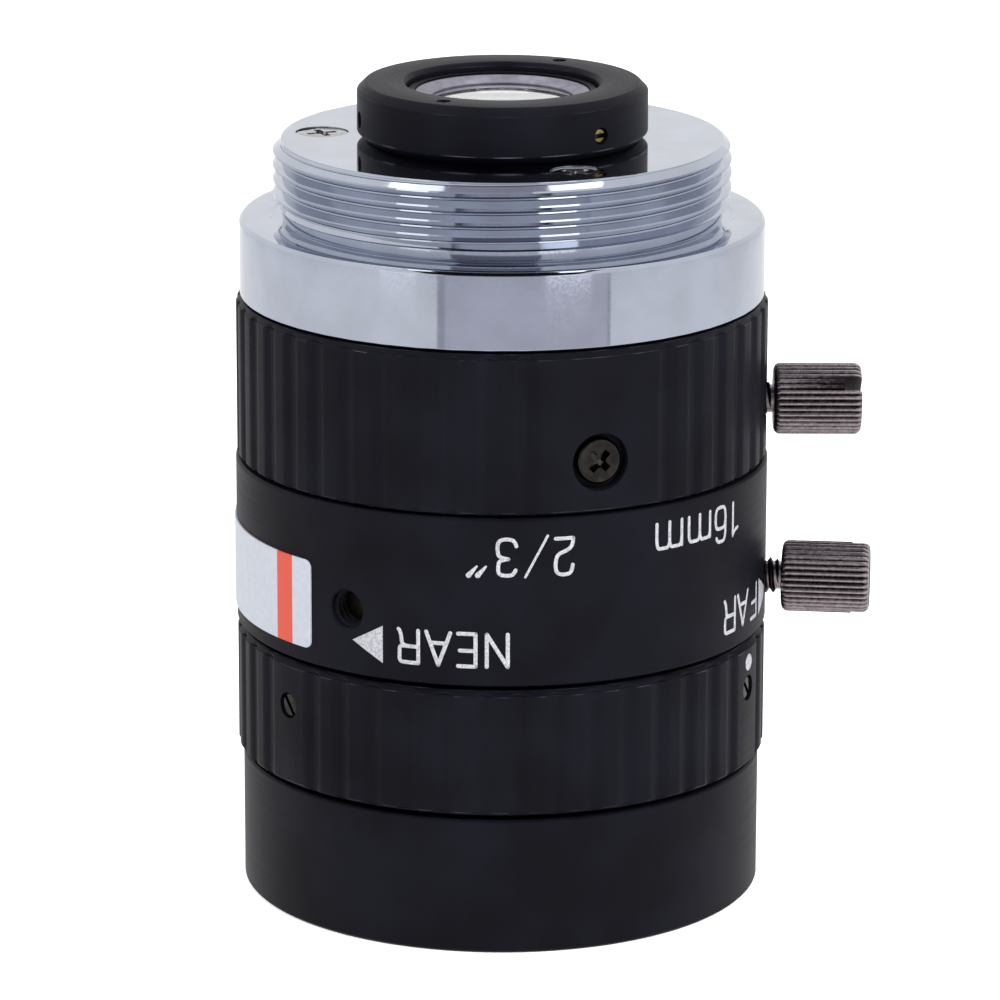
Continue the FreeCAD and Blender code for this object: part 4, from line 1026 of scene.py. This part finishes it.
def cut_line(points, wide, narrow):
    """Flat mesh of one round-ended stroke along points in the XY plane."""
    curve = bpy.data.curves.new("stroke", "CURVE")
    curve.dimensions = "3D"
    curve.bevel_depth = wide / 2
    curve.bevel_resolution = 2
    curve.resolution_u = 8
    line = curve.splines.new("NURBS")
    line.points.add(len(points) - 1)
    for index, (x, y) in enumerate(points):
        line.points[index].co = (x, y, 0, 1)
        share = index / (len(points) - 1)
        line.points[index].radius = 1 + (narrow / wide - 1) * share
    line.order_u = min(3, len(points))
    line.use_endpoint_u = True
    thing = placed("stroke", curve)
    view = bpy.context.evaluated_depsgraph_get()
    mesh = bpy.data.meshes.new_from_object(thing.evaluated_get(view), depsgraph=view)
    bm = bmesh.new()
    bm.from_mesh(mesh)
    bpy.data.objects.remove(thing)
    bpy.data.curves.remove(curve)
    bpy.data.meshes.remove(mesh)
    for (x, y), width in ((points[0], wide), (points[-1], narrow)):
        bmesh.ops.create_uvsphere(bm, u_segments=16, v_segments=8, radius=width / 2,
                                  matrix=Matrix.Translation((x, y, 0)))
    bmesh.ops.scale(bm, vec=(1, 1, 2 * MARK_HEIGHT / wide), verts=bm.verts[:])
    return bm


class LENS_OT_marks(bpy.types.Operator):
    """Model the filled marks and arrows on the barrel and the focus ring"""

    bl_idname = "lens.marks"
    bl_label = "Marks"

    def execute(self, context):
        radius = radius_of("main_barrel")
        # The paint's middle lies this far over the barrel
        skin = radius + 0.004
        slice_mm = 0.3
        strokes = []
        for mark, left, right, foot, top, width in MARKS:
            wide = math.radians(left - right) * radius - width
            tall = foot - top - width
            for line in GLYPHS[mark]:
                points = [(x * wide + width / 2, y * tall + width / 2) for x, y in line]
                stroke = sliced(cut_line(points, width, width), slice_mm)
                strokes.append(wrapped(stroke, skin, left, foot, upside_down=True))
        # Two slanted drops of the inch mark, thick at the top
        drop_z = -16.6
        slant = math.radians(1.7) * radius
        for start in (-4.9, -6.8):
            stroke = sliced(cut_line(((0, 0), (slant, 0.5)), 0.3, 0.12), slice_mm)
            strokes.append(wrapped(stroke, skin, start, drop_z))
        # Triangles beside NEAR and FAR
        arrow_z = -20.9
        half = 1.05
        for tip, base in ((-32.8, -25.5), (82.0, 74.3)):
            bm = bmesh.new()
            tip_x = math.radians(tip) * radius
            base_x = math.radians(base) * radius
            bm.faces.new([bm.verts.new(p) for p in ((tip_x, 0, 0), (base_x, -half, 0),
                                                    (base_x, half, 0))])
            strokes.append(wrapped(raised(sliced(bm, slice_mm), MARK_HEIGHT), skin, 0,
                                   arrow_z))
        paint = "light_grey_mark_paint"
        piece(joined(*strokes), "marks_barrel", FIXED, "sticker", material=paint)
        dot = turned([(0, 0.02), (0.44, 0.02), (0.475, 0), (0.475, -0.1), (0, -0.1)], 40)
        moved(dot, facing_out(radius_of("focus_ring"), 68.0, -24.25))
        piece(dot, "mark_index", FOCUS, "sticker", material=paint)
        return {"FINISHED"}


def lens_surface(bm, z, curve, clear, steps):
    """Arc of a lens surface as edges, from its rim at a height to its pole."""
    rise = abs(curve) - math.sqrt(curve ** 2 - clear ** 2)
    pole = z + math.copysign(rise, curve)
    centre = Vector((0, 0, pole - curve))
    rim = bm.verts.new((clear, 0, z))
    angle = math.asin(clear / abs(curve)) * (-1 if curve > 0 else 1)
    made = bmesh.ops.spin(bm, geom=[rim], cent=centre, axis=(0, 1, 0), dvec=(0, 0, 0),
                          angle=angle, steps=steps, use_merge=False)
    last = [item for item in made["geom_last"] if isinstance(item, bmesh.types.BMVert)][0]
    last.co = Vector((0, 0, pole))
    return rim


class LENS_OT_glass(bpy.types.Operator):
    """Model the two outer elements of the glass"""

    bl_idname = "lens.glass"
    bl_label = "Glass"

    def execute(self, context):
        for node, material, low_z, low_curve, low_clear, high_z, high_curve, high_clear in (
                ("rear_lens", "coated_dense_glass", 4.55, -20.0, 3.7, 6.55, 26.0, 3.95),
                ("front_lens", "coated_optical_glass", -30.53, -22.0, 9.8, -27.53, -9.6, 7.6)):
            outer = radius_of(node)
            bm = bmesh.new()
            low_rim = lens_surface(bm, low_z, low_curve, low_clear, 16)
            high_rim = lens_surface(bm, high_z, high_curve, high_clear, 16)
            corners = [bm.verts.new((outer, 0, low_z)), bm.verts.new((outer, 0, high_z))]
            for start, end in ((low_rim, corners[0]), corners, (corners[1], high_rim)):
                bm.edges.new((start, end))
            spun(bm, 96, 10 * WELD)
            piece(bm, node.replace("_lens", "_glass"), UNIT, "glass", node, material)
        return {"FINISHED"}


def card(name, corners, tint, strength=1.0):
    """Flat studio card that shows only in reflections."""
    bm = bmesh.new()
    bm.faces.new([bm.verts.new(Vector(corner) * MM) for corner in corners])
    mesh = mesh_of(bm, name)
    tree = new_material(name)
    glow = add(tree, "Emission", {"Color": linear(tint), "Strength": strength})
    add(tree, "OutputMaterial", {"Surface": glow})
    mesh.materials.append(bpy.data.materials[name])
    thing = placed(name, mesh)
    thing.visible_camera = False
    thing.visible_diffuse = False
    thing.visible_shadow = False
    thing.visible_transmission = False
    thing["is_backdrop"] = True


class LENS_OT_stage(bpy.types.Operator):
    """Build the floor, the lights and the camera"""

    bl_idname = "lens.stage"
    bl_label = "Stage"

    def execute(self, context):
        scene = context.scene
        # A hair under the front rim, so that the two faces don't flicker through each other
        floor_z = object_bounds()[0].z - 0.02 * MM
        bm = bmesh.new()
        bmesh.ops.create_grid(bm, x_segments=1, y_segments=1, size=3.0,
                              matrix=Matrix.Translation((0, 0, floor_z)))
        floor = placed("floor", mesh_of(bm, "floor"))
        # Painted sweep: matt paint that the camera sees a little lifted, and white in mirrors
        tree = new_material("white_sweep")
        place = add(tree, "TexCoord", output="Object")
        haze = add(tree, "TexNoise", {"Vector": place, "Scale": 1 / (40 * MM)})
        paint = add(tree, "Mix", {"Factor": haze, FIRST: linear("#F2F2F4"),
                                  SECOND: linear("#F6F6F8")}, **COLOURS)
        matt = add(tree, "BsdfPrincipled", {"Base Color": paint, "Roughness": 0.9,
                                            "Specular IOR Level": 0.1})
        direct = add(tree, "LightPath", output="Is Camera Ray")
        part = add(tree, "Math", {0: direct, 1: 0.5}, operation="MULTIPLY")
        lift = add(tree, "Emission", {"Strength": part})
        lifted = add(tree, "AddShader", {0: matt, 1: lift})
        glossy = add(tree, "LightPath", output="Is Glossy Ray")
        through = add(tree, "LightPath", output="Is Transmission Ray")
        share = add(tree, "Math", {0: glossy, 1: through}, operation="MAXIMUM")
        white = add(tree, "Emission", {"Strength": 1.0})
        mix = add(tree, "MixShader", {0: share, 1: lifted, 2: white})
        # From below the sweep is clear, so that the front of the lens can be looked at
        below = add(tree, "NewGeometry", output="Backfacing")
        clear = add(tree, "BsdfTransparent")
        sided = add(tree, "MixShader", {0: below, 1: mix, 2: clear})
        add(tree, "OutputMaterial", {"Surface": sided})
        floor.data.materials.append(bpy.data.materials["white_sweep"])
        floor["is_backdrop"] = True

        world = bpy.data.worlds.new("studio")
        world.use_nodes = True
        scene.world = world
        tree = world.node_tree
        tree.nodes.clear()
        diffuse = add(tree, "LightPath", output="Is Diffuse Ray")
        soft = add(tree, "Background", {"Color": linear("#EEF0F6"), "Strength": 0.5})
        plain = add(tree, "Background", {"Color": (1, 1, 1, 1), "Strength": 1.0})
        both = add(tree, "MixShader", {0: diffuse, 1: plain, 2: soft})
        add(tree, "OutputWorld", {"Surface": both})

        for name, azimuth, height, distance, size, power in (
                ("key", -40.0, 42.0, 750, 0.21, 2.6), ("fill", 46.0, 34.0, 750, 0.25, 5.0),
                ("top", 180.0, 70.0, 700, 0.5, 1.5)):
            lamp = bpy.data.lights.new(name, "AREA")
            lamp.shape = "SQUARE"
            lamp.size = size
            lamp.energy = power
            thing = placed(name, lamp)
            thing.visible_glossy = name == "top"
            rise = math.radians(height)
            thing.location = spot(distance * math.cos(rise), azimuth,
                                  distance * math.sin(rise)) * MM
            thing.rotation_euler = (-thing.location).to_track_quat("-Z", "Y").to_euler()

        # Painted reflections: glowing cards just over the floor in front of the lens, seen only in
        # mirrors, give the tones of light and shade that the bright mount mirrors there. Each part
        # of the mount that mirrors the floor has a radius, and sees it between two distances. A
        # sector is the floor that it mirrors between two azimuths of its own
        flange = (14.6, 90, 168)
        snout = (12.7, 168, 900)
        ground = floor_z / MM + 0.5
        for name, tint, strength, (skin, near, far), start, end in (
                ("floor_near", "#DAD8E0", 1.0, flange, -12.9, 23.4),
                ("floor_left_edge", "#BDBCC6", 1.0, flange, -14.0, -12.3),
                ("floor_right_edge", "#BDBCC6", 1.0, flange, 23.2, 23.9),
                ("floor_far", "#E2E4EA", 1.0, snout, -80.0, 80.0),
                ("floor_dark", "#B2B2C0", 1.0, snout, -15.8, 9.4),
                ("floor_strip_left", "#FFFFFF", 2.0, snout, -27.0, -18.5),
                ("floor_strip_right", "#FFFFFF", 2.8, snout, 9.4, 19.3)):
            ground += 0.1
            azimuths = [start + (end - start) * part / 16 for part in range(17)]
            corners = [spot(skin, a, ground) + spot(near, 2 * a) for a in azimuths]
            corners += [spot(skin, a, ground) + spot(far, 2 * a) for a in azimuths[::-1]]
            card(name, corners, tint, strength)
        # Painted reflection of a grey panel standing in front of the lens, seen only in mirrors
        card("card_panel", [spot(450, azimuth, z) for azimuth, z in (
            (-26.3, 60), (20.0, 60), (20.0, 500), (-26.3, 500))], "#8F8E9A")
        # Painted reflections of two strip lights overhead, with dark ceiling between and in front
        # of them, as glowing cards seen only in mirrors
        for name, tint, strength, height, corners in (
                ("strip_left", "#FFFFFF", 2.0, 590,
                 ((-179, 262), (-111, 246), (-186, -68), (-254, -52))),
                ("strip_right", "#FFFFFF", 2.4, 590,
                 ((74, 221), (146, 239), (226, -71), (154, -89))),
                ("ceiling_back", "#A6A6B0", 1.0, 600,
                 ((-140, 400), (130, 400), (140, 20), (-160, 20))),
                ("ceiling_front", "#18181C", 1.0, 600,
                 ((-260, 20), (260, 20), (260, -450), (-260, -450)))):
            card(name, [(x, y, height) for x, y in corners], tint, strength)

        camera = bpy.data.cameras.new("camera")
        camera.sensor_width = 36.0
        camera.lens = 204.45
        camera.clip_start = 0.01
        thing = placed("camera", camera)
        # Place and turn that fit the photograph's ellipses and outlines
        thing.location = (0, -0.30826, 0.06798)
        thing.rotation_euler = (math.radians(90 - 15.318), -0.00236, 0.00092)
        scene.camera = thing
        scene.view_settings.view_transform = "Standard"
        return {"FINISHED"}


STEPS = ("materials", "inside", "mount", "barrel", "grip_rings", "front", "rear", "screws",
         "thumb_screws", "label", "marks", "glass", "stage")


class LENS_PT_panel(bpy.types.Panel):
    """Panel with the sizes, the colours and the steps of the lens"""

    bl_label = "Machine vision lens"
    bl_idname = "LENS_PT_panel"
    bl_space_type = "VIEW_3D"
    bl_region_type = "UI"
    bl_category = "Lens"

    def draw(self, context):
        for group in (context.scene.lens_sizes, context.scene.lens_colours):
            box = self.layout.box()
            for name in group.__annotations__:
                box.prop(group, name)
        for name in STEPS:
            self.layout.operator("lens." + name)


CLASSES = (LensSizes, LensColours, LENS_OT_materials, LENS_OT_inside, LENS_OT_mount,
           LENS_OT_barrel, LENS_OT_grip_rings, LENS_OT_front, LENS_OT_rear, LENS_OT_screws,
           LENS_OT_thumb_screws, LENS_OT_label, LENS_OT_marks, LENS_OT_glass, LENS_OT_stage,
           LENS_PT_panel)


def register():
    for cls in CLASSES:
        bpy.utils.register_class(cls)
    bpy.types.Scene.lens_sizes = bpy.props.PointerProperty(type=LensSizes)
    bpy.types.Scene.lens_colours = bpy.props.PointerProperty(type=LensColours)


def unregister():
    del bpy.types.Scene.lens_colours
    del bpy.types.Scene.lens_sizes
    for cls in reversed(CLASSES):
        bpy.utils.unregister_class(cls)


def main():
    register()
    for name in STEPS:
        getattr(bpy.ops.lens, name)()


if __name__ == "__main__":
    main()
